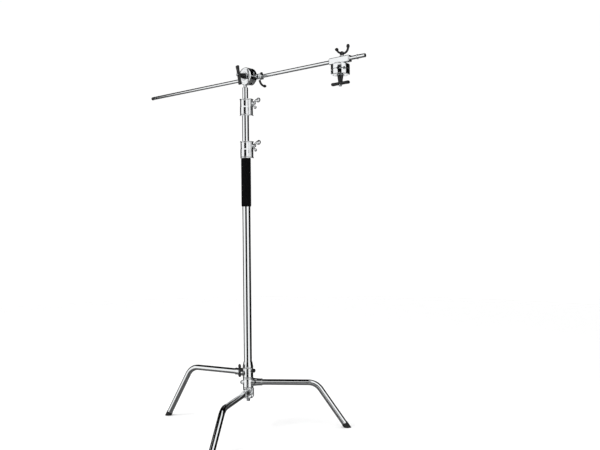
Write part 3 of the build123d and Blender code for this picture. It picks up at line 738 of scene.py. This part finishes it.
class STAND_OT_clamp_screws(bpy.types.Operator):
    """Models the clamp screws of the collars and heads, and the collars' set screws"""

    bl_idname = "stand.clamp_screws"
    bl_label = "Clamp Screws"

    def execute(self, context):
        for collar in COLLARS:
            angle = bearing(f"{collar}_wing_turn")
            own, inner = (half_width(tube) for tube in COLLAR_TUBES[collar])
            shank = eased(drum("shank", SCREW_R, inner + 3.3, SCREW_END, 48), 0.5)
            place = outward(angle, joint_height(f"{collar}_wing_turn"))
            hand_over(moved(shank, place), f"{collar}_wing_screw")
            screw = eased(drum("set_screw", SET_SCREW_R, own + 0.5, 32.2, 48), 0.4)
            cut(screw, hex_tool(2, 29.5, 34))
            place = outward(angle, centre_of(f"{collar}_set_screw"))
            hand_over(moved(screw, place), f"{collar}_set_screw")
        shank = eased(drum("shank", SCREW_R, -67, -44.8, 48), 0.5)
        for head in HEADS:
            place = head_place(head) @ shifted(HEAD_WING_FOOT[0])
            hand_over(moved(copy_of(shank, "screw"), place), f"{head}_wing_screw")
        discard(shank)
        return {"FINISHED"}


# ---- hub and legs -------------------------------------------------------------------------
LEG_RADIUS = 12.5
SOCKET_START = 24.0
SOCKET_REACH = 62.0
CROSS_SCREW_AT = 34.0  # from the column's axis, along the socket
HUB_R = 23.0
HUB_WAIST_R = 22.5
HUB_FOOT = 20.5  # a ring's foot below its leg's axis
SCREW_START = 17.8  # of the lock screw and the plunger, just off the tube
KNOB_R = 8.3
KNOB_LENGTH = 11.0
FLUTES = 12  # round the knob
STOP_RIB = 11.0  # bearings of the stop rib and the stop screw, in degrees
STOP_BOSS = 232.0


def leg_bearing(leg):
    """Direction of a leg, as an angle from +X."""
    lowest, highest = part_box(f"{leg}_foot_cap")
    middle = (lowest + highest) / 2
    return atan2(middle.y, middle.x)


def leg_height(leg):
    """Height of a leg's straight run, in millimetres."""
    return high(f"{leg}_leg_tube", "z") - LEG_RADIUS


def leg_end(leg):
    """Slope of a leg's lower run in radians, and the height of its tube's end in millimetres."""
    sizes = bpy.context.scene.stand_sizes
    slope = atan2(leg_height(leg), (sizes.foot_circle - sizes.leg_corner) / MM)
    return slope, LEG_RADIUS * cos(slope) + 3


def cross_screw_place(leg):
    """Place of the screw across a leg's socket, when the leg points to +X."""
    side = 1 if leg == "top" else -1
    return frame_at((CROSS_SCREW_AT, 0, leg_height(leg)), (0, side, 0), (1, 0, 0))


def hub_ring(leg, top):
    """Cast ring of one leg with its tapered socket towards +X, at the leg's height."""
    height = leg_height(leg)
    foot, end = height - HUB_FOOT, SOCKET_REACH
    outline = [
        (CORE_R, foot), (HUB_R - 0.6, foot), (HUB_R, foot + 0.6), (HUB_R, foot + 4),
        (HUB_WAIST_R, foot + 5), (HUB_WAIST_R, top - 5), (HUB_R, top - 4), (HUB_R, top - 0.6),
        (HUB_R - 0.6, top), (CORE_R, top), (CORE_R, foot),
    ]
    ring = lathe("ring", outline, 96)
    outline = [
        (0, 8), (18.6, 8), (18, 20), (16, 40), (14.9, end - 5), (15.4, end - 4), (15.4, end), (0, end),
    ]
    socket = moved(lathe("socket", outline), frame_at((0, 0, height), (1, 0, 0), (0, 0, 1)))
    pad = lathe("pad", [(0, 6), (7.4, 6), (7.0, 16.2), (0, 16.2)], 48)
    return gathered(ring, socket, moved(pad, cross_screw_place(leg)))


def bosses(leg):
    """Bearing, height and outline of each boss on a leg's casting; the front one has none."""
    if leg == "middle":
        return [(radians(STOP_BOSS), leg_height(leg), [(0, 12), (9, 12), (9, 30), (8, 31), (0, 31)])]
    if leg == "top":
        lock = [(0, 12), (9, 12), (9, 27), (8, 28), (0, 28)]
        plunger = [(0, 12), (8.4, 12), (8, 26), (7.4, 27), (0, 27)]
        return [
            (bearing("leg_lock_turn"), joint_height("leg_lock_turn"), lock),
            (bearing("leg_plunger_pull"), centre_of("leg_plunger_knob"), plunger),
        ]
    return []


class STAND_OT_hub(bpy.types.Operator):
    """Models the three stacked castings of the hub, each with its leg socket"""

    bl_idname = "stand.hub"
    bl_label = "Hub Castings"

    def execute(self, context):
        voxel = context.scene.stand_sizes.cast_voxel
        for leg in LEGS:
            node, turn, height = f"{leg}_casting", leg_bearing(leg), leg_height(leg)
            top = high(node, "z")
            parts = [hub_ring(leg, top)]
            for angle, at, outline in bosses(leg):
                parts.append(moved(lathe("boss", outline, 48), turn_by(-turn) @ outward(angle, at)))
            if leg == "front":
                rib = eased(block("stop_rib", (14, 9, 38), (21.5, 0, height)), 1.5, 3, 60)
                parts.append(moved(rib, turn_by(radians(STOP_RIB) - turn)))
            casting = cast(gathered(*parts), voxel, 5)
            bore = half_width("base_tube") + (CLOSE_FIT if leg == "front" else 0.1)
            leg_bore = drum("leg_bore", LEG_RADIUS + CLOSE_FIT, SOCKET_START, SOCKET_REACH + 2, 72)
            cut(
                casting,
                drum("column_bore", bore, height - HUB_FOOT - 1.5, top + 2, 96),
                moved(leg_bore, frame_at((0, 0, height), (1, 0, 0), (0, 0, 1))),
            )
            hand_over(moved(casting, turn_by(turn)), node, 40)
        return {"FINISHED"}


class STAND_OT_legs(bpy.types.Operator):
    """Models the bent leg tubes: a straight run, a bend and the slope down to the foot"""

    bl_idname = "stand.legs"
    bl_label = "Leg Tubes"

    def execute(self, context):
        sizes = context.scene.stand_sizes
        for leg in LEGS:
            node, height = f"{leg}_leg_tube", leg_height(leg)
            slope, end_z = leg_end(leg)
            corner, bend = sizes.leg_corner / MM, sizes.leg_bend / MM
            before = bend * tan(slope / 2)
            after = (height - end_z) / sin(slope) - before
            clear_hands()
            start = Vector((SOCKET_START, 0, height)) * MM
            bpy.ops.mesh.primitive_circle_add(
                vertices=64, radius=LEG_RADIUS * MM, location=start, rotation=(0, pi / 2, 0)
            )
            tube = opened(named(node))
            straight = corner - before - SOCKET_START
            bpy.ops.mesh.extrude_region_move(TRANSFORM_OT_translate={"value": (straight * MM, 0, 0)})
            pivot = Vector((corner - before, 0, height - bend)) * MM
            bpy.ops.mesh.spin(steps=28, angle=slope, center=pivot, axis=(0, -1, 0))
            run = Vector((cos(slope), 0, -sin(slope))) * after * MM
            bpy.ops.mesh.extrude_region_move(TRANSFORM_OT_translate={"value": run})
            tidy_shell()
            modified(tube, "SOLIDIFY", thickness=sizes.wall, offset=-1, use_rim=True)
            hand_over(moved(tube, turn_by(leg_bearing(leg))), node)
        return {"FINISHED"}


class STAND_OT_foot_caps(bpy.types.Operator):
    """Models the short rubber foot caps, cut flat on the floor"""

    bl_idname = "stand.foot_caps"
    bl_label = "Foot Caps"

    def execute(self, context):
        foot_circle = context.scene.stand_sizes.foot_circle / MM
        for leg in LEGS:
            node = f"{leg}_foot_cap"
            slope, end_z = leg_end(leg)
            end_r = foot_circle - end_z / tan(slope)
            bore, wide = LEG_RADIUS + LOOSE_FIT, CAP_R - 0.8
            outline = [(0, 40), (CAP_R, 40), (CAP_R, -9.2), (wide, -10), (bore, -10), (bore, 0), (0, 0)]
            cap = lathe(node, outline, 64)
            down = (cos(slope), 0, -sin(slope))
            moved(cap, frame_at((end_r, 0, end_z), down, (-sin(slope), 0, -cos(slope))))
            opened(cap)
            bpy.ops.mesh.bisect(plane_co=(0, 0, 0), plane_no=(0, 0, -1), use_fill=True, clear_outer=True)
            tidy_shell()
            eased(cap, 0.5, 2, 40)
            hand_over(moved(cap, turn_by(leg_bearing(leg))), node)
        return {"FINISHED"}


def socket_screw(shank_r, head_r, shank_from, head_from, head_to, hex_r):
    """Socket-headed screw on the Z axis with a six-sided recess in its head, in millimetres."""
    rise = head_to - head_from
    outline = [
        (0, shank_from), (shank_r, shank_from), (shank_r, head_from), (head_r, head_from),
        (head_r, head_to - rise * 0.4), (head_r - rise * 0.25, head_to - rise * 0.1),
        (head_r - rise * 0.5, head_to), (0, head_to),
    ]
    return cut(lathe("screw", outline, 48), hex_tool(hex_r, head_to - rise * 0.6, head_to + 1))


class STAND_OT_hub_fittings(bpy.types.Operator):
    """Models the hub's screws, washers, bell and bottom bolt"""

    bl_idname = "stand.hub_fittings"
    bl_label = "Hub Fittings"

    def execute(self, context):
        column = half_width("base_tube")
        cross = socket_screw(2.5, 4.5, 8, 16.2, 19, 1.7)
        for leg in LEGS:
            place = turn_by(leg_bearing(leg)) @ cross_screw_place(leg)
            hand_over(moved(copy_of(cross, "screw"), place), f"{leg}_leg_screw")
        discard(cross)
        stop = socket_screw(SET_SCREW_R, 5.1, 20, 31, 34, 2.2)
        hand_over(moved(stop, outward(radians(STOP_BOSS), leg_height("middle"))), "middle_stop_screw")
        for node in ("hub_washer_lower", "hub_washer_upper"):
            hand_over(pipe(node, 21.5, column, low(node, "z"), high(node, "z"), 0.2), node)
        bore, foot, head = column + CLOSE_FIT, low("base_bell", "z"), high("base_bell", "z")
        outline = [
            (bore, foot), (22.6, foot), (HUB_R, foot + 0.5), (HUB_R, foot + 3), (22.8, foot + 3.6),
            (21.9, foot + 7), (21, foot + 11), (20.2, foot + 15.5), (19.5, foot + 20),
            (19, head - 0.4), (18.6, head), (bore, head), (bore, foot),
        ]
        hand_over(lathe("bell", outline, 96), "base_bell", 45)
        seat = low("base_washer", "z")
        washer = pipe("washer", 20, BASE_BOLT_R, seat, high("base_washer", "z"), 0.4)
        hand_over(washer, "base_washer")
        bolt = hex_tool(8, low("base_bolt", "z"), seat)
        outline = [(0, seat - 14.5), (6.6, seat - 14.5), (8.6, seat - 12.5), (8.6, seat + 1), (0, seat + 1)]
        cone = lathe("chamfer", outline)
        modified(bolt, "BOOLEAN", operation="INTERSECT", solver="EXACT", object=cone)
        discard(cone)
        eased(bolt, 0.35, 2, 50)
        shank = eased(drum("shank", BASE_BOLT_R, seat, high("base_bolt", "z"), 48), 0.6)
        hand_over(gathered(bolt, shank), "base_bolt")
        return {"FINISHED"}


class STAND_OT_hub_controls(bpy.types.Operator):
    """Models the two-lobed lock handle with its screw and the fluted plunger knob with its pin"""

    bl_idname = "stand.hub_controls"
    bl_label = "Lock and Plunger"

    def execute(self, context):
        lock = outward(bearing("leg_lock_turn"), joint_height("leg_lock_turn"))
        neck = lathe("neck", [(0, 30), (7.6, 30), (7.2, 33), (5.6, 38), (5.6, 43), (0, 43)], 48)
        bridge = eased(block("bridge", (40, 10, 8.5), (0, 0, 41)), 2.5, 3, 60)
        lobes = [ball("lobe", (9.4, 9.2, 5.4), (side * 19, 0, 41)) for side in (1, -1)]
        handle = cast(gathered(neck, bridge, *lobes), LOBE_VOXEL, 8)
        cut(handle, drum("screw_hole", SCREW_R, 0, 60, 48))
        hand_over(moved(handle, lock), "leg_lock_handle", 80)
        screw = eased(drum("screw", SCREW_R, SCREW_START, 46.3, 48), 0.6)
        hand_over(moved(screw, lock), "leg_lock_screw")

        start = low("leg_plunger_knob", "x")
        place = outward(bearing("leg_plunger_pull"), centre_of("leg_plunger_knob"))
        knob = drum("knob", KNOB_R, start, start + KNOB_LENGTH, 4 * FLUTES)

        def in_flute(centre, normal):
            facet = int(atan2(centre.y, centre.x) * 2 * FLUTES / pi + 4 * FLUTES)
            return abs(normal.z) < 0.5 and facet % 4 < 2

        pick(knob, in_flute)
        bpy.ops.mesh.inset(thickness=0.3 * MM, depth=-0.7 * MM, use_individual=False)
        close_mesh()
        pick(knob, lambda centre, normal: normal.z > 0.9)
        for rise in (0, 0.6):
            bpy.ops.mesh.inset(thickness=1.2 * MM, depth=rise * MM)
        close_mesh()
        eased(knob, 0.4, 2, 50)
        hand_over(moved(knob, place), "leg_plunger_knob")
        pin = eased(drum("pin", 3, SCREW_START, start + KNOB_LENGTH - 2, 32), 0.5)
        hand_over(moved(pin, place), "leg_plunger_pin")
        return {"FINISHED"}


# ---- boom ---------------------------------------------------------------------------------
class STAND_OT_boom(bpy.types.Operator):
    """Models the boom tube, its rear cap, its front stud and the stud of the column"""

    bl_idname = "stand.boom"
    bl_label = "Boom and Studs"

    def execute(self, context):
        sizes = context.scene.stand_sizes
        lowest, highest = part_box("boom_tube")
        middle = (lowest + highest) / 2 / MM
        radius = half_width("boom_tube")
        bore = radius - sizes.wall / MM
        rear, front = lowest.x / MM, highest.x / MM
        place = frame_at((0, middle.y, middle.z), (1, 0, 0), (0, 0, 1))
        tube = pipe("boom", radius, bore, rear, front, sizes.rim / MM, 64)
        hand_over(moved(tube, place), "boom_tube")
        end, tip = low("boom_rear_cap", "x"), high("boom_front_stud", "x")
        outline = [
            (0, end), (6, end), (7.4, end + 0.6), (STUD_R, end + 2), (STUD_R, rear), (bore, rear),
            (bore, rear + PLUG_LENGTH), (0, rear + PLUG_LENGTH),
        ]
        hand_over(moved(lathe("rear_cap", outline, 64), place), "boom_rear_cap")
        outline = [
            (0, front - PLUG_LENGTH), (bore, front - PLUG_LENGTH), (bore, front), (9.2, front),
            (9.5, front + 0.3), (9.5, front + 2.7), (9.2, front + 3), (STUD_R, front + 3),
            (STUD_R, tip - 1), (7, tip), (0, tip),
        ]
        hand_over(moved(lathe("front_stud", outline, 64), place), "boom_front_stud")
        foot, head = low("top_stud", "z"), high("top_stud", "z")
        seat = head - 80
        outline = [
            (0, foot), (11, foot), (11, seat - 4), (12.5, seat - 4), (12.5, seat - 1.5), (11, seat),
            (STUD_R, seat), (STUD_R, seat + 34), (6.9, seat + 35), (6.9, seat + 45),
            (STUD_R, seat + 46), (STUD_R, head - 1.5), (6.5, head), (0, head),
        ]
        hand_over(lathe("column_stud", outline), "top_stud")
        return {"FINISHED"}


# ---- grip heads ---------------------------------------------------------------------------
GROOVES = (("x", -1, 8.15), ("x", 1, 6.15), ("y", 1, 5.15), ("y", -1, 3.4))  # axis, side, half size


def groove_tool(axis, side, half, offset):
    """Square bar laid on its edge, to cut one V groove across a jaw."""
    bar = moved(block("groove_tool", (2 * half, 2 * half, 90), (0, 0, 0)), turn_by(pi / 4))
    if axis == "x":
        return moved(bar, shifted(side * offset) @ turn_by(pi / 2, "X"))
    return moved(bar, shifted(0, side * offset) @ turn_by(pi / 2, "Y"))


def jaw_shape(name, sizes):
    """Outer jaw: a round disc with turned steps on its face and four V grooves on its inner side."""
    gap, radius = sizes.jaw_gap / 2 / MM, sizes.jaw_radius / MM
    face = gap + sizes.jaw_thickness / MM
    outline = [
        (HEAD_BORE_R, gap), (radius - 0.8, gap), (radius, gap + 0.8), (radius, face - 3.2),
        (radius - 0.9, face - 1.2), (radius - 3, face), (radius - 7.6, face), (radius - 8.2, face - 1),
        (radius - 9.8, face - 1), (radius - 10.4, face), (19.5, face), (18.5, face - 0.8),
        (16.5, face - 0.8), (15.5, face), (HEAD_BORE_R, face), (HEAD_BORE_R, gap),
    ]
    offset = sizes.groove_offset / MM
    tools = (groove_tool(axis, side, half, offset) for axis, side, half in GROOVES)
    return cut(lathe(name, outline, 128), *tools)


class STAND_OT_jaws(bpy.types.Operator):
    """Models the round jaws of both grip heads with their V grooves"""

    bl_idname = "stand.jaws"
    bl_label = "Grip Jaws"

    def execute(self, context):
        sizes = context.scene.head_sizes
        outer = jaw_shape("jaw_pattern", sizes)
        inner = copy_of(outer, "inner_pattern")
        opened(inner)
        bpy.ops.transform.mirror(constraint_axis=(False, False, True), center_override=(0, 0, 0))
        tidy_shell()
        for pattern in (outer, inner):
            eased(pattern, 0.35, 2, 40)
        for head in HEADS:
            for pattern, side in ((outer, "jaw_outer"), (inner, "jaw_inner")):
                jaw = moved(copy_of(pattern, side), head_place(head))
                hand_over(jaw, f"{head}_{side}", 30)
        discard(outer, inner)
        return {"FINISHED"}


BOOM_DROP = 36.5  # from the middle of a closed head down to the boom's axis


class STAND_OT_receivers(bpy.types.Operator):
    """Models the blocks that the boom runs through, with their rosettes and screw bosses"""

    bl_idname = "stand.receivers"
    bl_label = "Receivers"

    def execute(self, context):
        reach = context.scene.head_sizes.receiver_length / MM
        body = eased(block("receiver", (reach, 24, 26), (0, 0, -BOOM_DROP)), 4, 4, 60)
        outline = [(0, -26), (23.4, -26), (24, -24.6), (24, -21.3), (23.3, -20.6), (0, -20.6)]
        rosette = lathe("rosette", outline, 96)
        boss = lathe("boss", [(0, -46), (10, -46), (9, -50), (9, -52.4), (8.4, -53), (0, -53)], 48)
        moved(boss, shifted(HEAD_WING_FOOT[0]))
        receiver = cast(gathered(body, rosette, boss), FINE_VOXEL, 3)
        along = frame_at((0, 0, -BOOM_DROP), (1, 0, 0), (0, 1, 0))
        cut(receiver, moved(drum("boom_bore", STUD_R + 0.1, -reach, reach, 72), along))
        bolt = lathe("bolt", [(0, -27.5), (6, -27.5), (6, 64), (4.8, 65.2), (0, 65.2)], 48)
        washer = pipe("washer", 14, HEAD_BORE_R, 20.5, 23, 0.4)
        patterns = {"receiver": receiver, "bolt": bolt, "washer": washer}
        for head in HEADS:
            for part, pattern in patterns.items():
                hand_over(moved(copy_of(pattern, part), head_place(head)), f"{head}_{part}", 40)
        discard(*patterns.values())
        return {"FINISHED"}


HEAD_TEE_TURNS = {"head_1": 102, "head_2": 0}  # resting turns of the T-handles, in degrees
TEE_TOP = 60.0
TEE_FLARE = (  # share of the bar's reach, and how its width and depth change over it
    (0.35, 0.86, 0.94), (0.35, 1.24, 1.08), (0.22, 1.14, 1.04), (0.08, 0.8, 0.76),
)


def tee_bar(length_mm):
    """Bar of a T-handle: a block drawn out to both sides and flared at its ends."""
    bar = block("tee_bar", (16, 17, 14), (0, 0, TEE_TOP - 6.5))
    reach = length_mm / 2 - 8
    for side in (1, -1):
        pick(bar, lambda centre, normal: normal.x * side > 0.9)
        for share, width, depth in TEE_FLARE:
            step = (side * reach * share * MM, 0, 0)
            bpy.ops.mesh.extrude_region_move(TRANSFORM_OT_translate={"value": step})
            shell = bmesh.from_edit_mesh(bar.data)
            face = next(f for f in shell.faces if f.select)
            bpy.ops.transform.resize(value=(1, width, depth), center_override=face.calc_center_median())
        close_mesh()
    return modified(bar, "SUBSURF", levels=3, render_levels=3)


class STAND_OT_tee_handles(bpy.types.Operator):
    """Models the black T-handles that close the jaws"""

    bl_idname = "stand.tee_handles"
    bl_label = "T-Handles"

    def execute(self, context):
        bar = tee_bar(context.scene.head_sizes.tee_length / MM)
        outline = [(0, 23), (11.2, 23), (11.6, 24), (11.2, 30), (9.2, 44), (8.6, 55), (0, 58)]
        pattern = cast(gathered(bar, lathe("hub", outline, 64)), FINE_VOXEL, 6)
        cut(pattern, drum("bolt_hole", HEAD_BORE_R, 0, 80, 48))
        for head in HEADS:
            place = head_place(head) @ turn_by(radians(HEAD_TEE_TURNS[head]))
            hand_over(moved(copy_of(pattern, head), place), f"{head}_tee_handle", 80)
        discard(pattern)
        return {"FINISHED"}


# ---- stage --------------------------------------------------------------------------------
CAMERA_PLACE = (2.2144, -2.1264, 0.8786)
CAMERA_HEADING = 41.835
CAMERA_PITCH = -0.161
CAMERA_ROLL = -0.566
CAMERA_LENS = 42.36
CAMERA_SENSOR = 36
SURROUND = 12.0  # distance of the flags, far enough to look alike from every height of the stand
EYE = 0.9  # height from which the flags' angles are counted
FLAGS = {
    # from and to round the stand, low and high above the horizon, all in degrees, and how dark
    "flag_left": (-209.0, -143.5, -60, 60, "black"),
    "flag_front": (-81.8, -33.8, -17.5, 19, "black"),
    "flag_right": (18.0, 72.0, -60, 60, "black"),
    "flag_far_right": (72.0, 121.0, -60, 60, "dark grey"),
    "flag_back": (121.0, 151.0, 20, 60, "black"),
}
CLOTHS = {"black": "#060606", "dark grey": "#303030", "grey": "#5C5C5C"}
ROOF_FROM = 37  # elevation above which the roof flag shuts out the sky
ROOF_GAP = (-41, 27)  # bearings between which it is open
PIT_FROM = -24  # elevation below which the lowest flag is grey
SKY = 1.02  # strength of the white surroundings
FLOOR_R = 7.0
FLOOR_DROP = 0.0002  # keeps the floor clear of the feet
FLOOR_FADE = (1.5, 6.5)  # distances over which the floor fades out
KEY_PLACE = (-1.6, -3.2, 3.4)
KEY_AIM = (0, 0, 0.7)
KEY_SIZE = 2.2
KEY_POWER = 90


def flag_cloth(shade):
    """Matt cloth of a flag."""
    name = f"{shade.replace(' ', '_')}_flag_cloth"
    return new_finish(name, srgb(CLOTHS[shade]), Roughness=1.0, Specular_IOR_Level=0.0)[0]


def at_elevation(angle):
    """Height on the surround that is seen at an angle above the horizon."""
    return EYE + SURROUND * tan(radians(angle))


def upright_flag(name, start, end, low_angle, high_angle):
    """Curved upright flag round the stand, between two angles and two elevations."""
    bottom, top = at_elevation(low_angle), at_elevation(high_angle)
    clear_hands()
    bpy.ops.mesh.primitive_circle_add(vertices=360, radius=SURROUND, location=(0, 0, bottom))
    flag = opened(named(name))
    bpy.ops.mesh.extrude_region_move(TRANSFORM_OT_translate={"value": (0, 0, top - bottom)})
    close_mesh()
    middle, half = radians((start + end) / 2), radians((end - start) / 2)

    def outside(centre, normal):
        return abs((atan2(centre.y, centre.x) - middle + pi) % (2 * pi) - pi) > half

    pick(flag, outside)
    bpy.ops.mesh.delete(type="FACE")
    close_mesh()
    return flag


def level_flag(name, elevation, gap=None):
    """Round level flag above or below the stand; a gap between two angles lets the sky in."""
    clear_hands()
    bpy.ops.mesh.primitive_circle_add(
        vertices=72, radius=SURROUND * 1.01, fill_type="TRIFAN", location=(0, 0, at_elevation(elevation))
    )
    flag = named(name)
    if gap:
        pick(flag, lambda centre, normal: gap[0] < degrees(atan2(centre.y, centre.x)) < gap[1])
        bpy.ops.mesh.delete(type="FACE")
        close_mesh()
    return flag


def only_reflected(flag, cloth):
    """Lets a flag be seen in polished surfaces and nowhere else."""
    flag.data.materials.append(cloth)
    flag.visible_camera = False
    flag.visible_diffuse = False
    flag.visible_shadow = False


class STAND_OT_stage(bpy.types.Operator):
    """Makes the pale floor, the white surroundings, the flags, the lamps and the camera"""

    bl_idname = "stand.stage"
    bl_label = "Stage"

    def execute(self, context):
        scene = context.scene
        scene.view_settings.view_transform = "Standard"
        world = bpy.data.worlds.new("white_surroundings")
        world.use_nodes = True
        sky = world.node_tree.nodes["Background"]
        sky.inputs["Color"].default_value = (1, 1, 1, 1)
        sky.inputs["Strength"].default_value = SKY
        scene.world = world

        clear_hands()
        bpy.ops.mesh.primitive_circle_add(
            vertices=96, radius=FLOOR_R, fill_type="NGON", location=(0, 0, -FLOOR_DROP)
        )
        floor = named("studio_floor")
        # Painted floor: matt, and faded into the surroundings further out.
        material, tree, shader, where = new_finish(
            "matt_painted_floor", scene.stand_finishes.floor, Roughness=0.9
        )
        floor.data.materials.append(material)
        distance = add_node(tree, "ShaderNodeVectorMath", {"operation": "LENGTH"}, Vector=where)
        fade = {"From Min": FLOOR_FADE[0], "From Max": FLOOR_FADE[1]}
        reach = add_node(tree, "ShaderNodeMapRange", fade, Value=distance.outputs["Value"])
        clear = add_node(tree, "ShaderNodeBsdfTransparent")
        mixed = add_node(tree, "ShaderNodeMixShader", Fac=reach.outputs["Result"])
        tree.links.new(shader.outputs["BSDF"], mixed.inputs[1])
        tree.links.new(clear.outputs["BSDF"], mixed.inputs[2])
        tree.links.new(mixed.outputs["Shader"], tree.nodes["Material Output"].inputs["Surface"])
        floor.visible_glossy = False

        cloths = {shade: flag_cloth(shade) for shade in CLOTHS}
        for name, (*angles, shade) in FLAGS.items():
            only_reflected(upright_flag(name, *angles), cloths[shade])
        only_reflected(level_flag("flag_roof", ROOF_FROM, ROOF_GAP), cloths["black"])
        only_reflected(level_flag("flag_floor", PIT_FROM), cloths["grey"])

        clear_hands()
        bpy.ops.object.light_add(type="AREA", location=KEY_PLACE)
        lamp = context.object
        lamp.name = "soft_key"
        lamp.data.shape = "RECTANGLE"
        lamp.data.size = lamp.data.size_y = KEY_SIZE
        lamp.data.energy = KEY_POWER
        lamp.visible_glossy = False
        lamp.rotation_euler = (Vector(KEY_AIM) - lamp.location).to_track_quat("-Z", "Y").to_euler()

        clear_hands()
        bpy.ops.object.camera_add()
        camera = context.object
        camera.name = "front_camera"
        camera.data.lens = CAMERA_LENS
        camera.data.sensor_width = CAMERA_SENSOR
        camera.matrix_world = (
            Matrix.Translation(CAMERA_PLACE)
            @ turn_by(radians(CAMERA_HEADING))
            @ turn_by(radians(90 + CAMERA_PITCH), "X")
            @ turn_by(radians(CAMERA_ROLL))
        )
        scene.camera = camera
        return {"FINISHED"}


# ---- add-on -------------------------------------------------------------------------------
GROUPS = (
    (StandSizes, "stand_sizes"),
    (HeadSizes, "head_sizes"),
    (Finishes, "stand_finishes"),
)
OPERATORS = (
    STAND_OT_finishes,
    STAND_OT_column_tubes,
    STAND_OT_foam_grip,
    STAND_OT_collars,
    STAND_OT_clamp_screws,
    STAND_OT_wing_handles,
    STAND_OT_hub,
    STAND_OT_legs,
    STAND_OT_foot_caps,
    STAND_OT_hub_fittings,
    STAND_OT_hub_controls,
    STAND_OT_boom,
    STAND_OT_jaws,
    STAND_OT_receivers,
    STAND_OT_tee_handles,
    STAND_OT_stage,
)


class STAND_PT_panel(bpy.types.Panel):
    """Lists the stand's pieces, sizes and colours"""

    bl_label = "Century Stand"
    bl_idname = "STAND_PT_panel"
    bl_space_type = "VIEW_3D"
    bl_region_type = "UI"
    bl_category = "Stand"

    def draw(self, context):
        for operator in OPERATORS:
            self.layout.operator(operator.bl_idname)
        for group, attribute in GROUPS:
            box = self.layout.box()
            for name in group.__annotations__:
                box.prop(getattr(context.scene, attribute), name)


def register():
    for group, attribute in GROUPS:
        bpy.utils.register_class(group)
        setattr(bpy.types.Scene, attribute, bpy.props.PointerProperty(type=group))
    for cls in (*OPERATORS, STAND_PT_panel):
        bpy.utils.register_class(cls)


def unregister():
    for cls in (STAND_PT_panel, *reversed(OPERATORS)):
        bpy.utils.unregister_class(cls)
    for group, attribute in reversed(GROUPS):
        delattr(bpy.types.Scene, attribute)
        bpy.utils.unregister_class(group)


def main():
    """Runs every operator in order."""
    register()
    for operator in OPERATORS:
        group, action = operator.bl_idname.split(".")
        getattr(getattr(bpy.ops, group), action)()
    clear_hands()


if __name__ == "__main__":
    main()
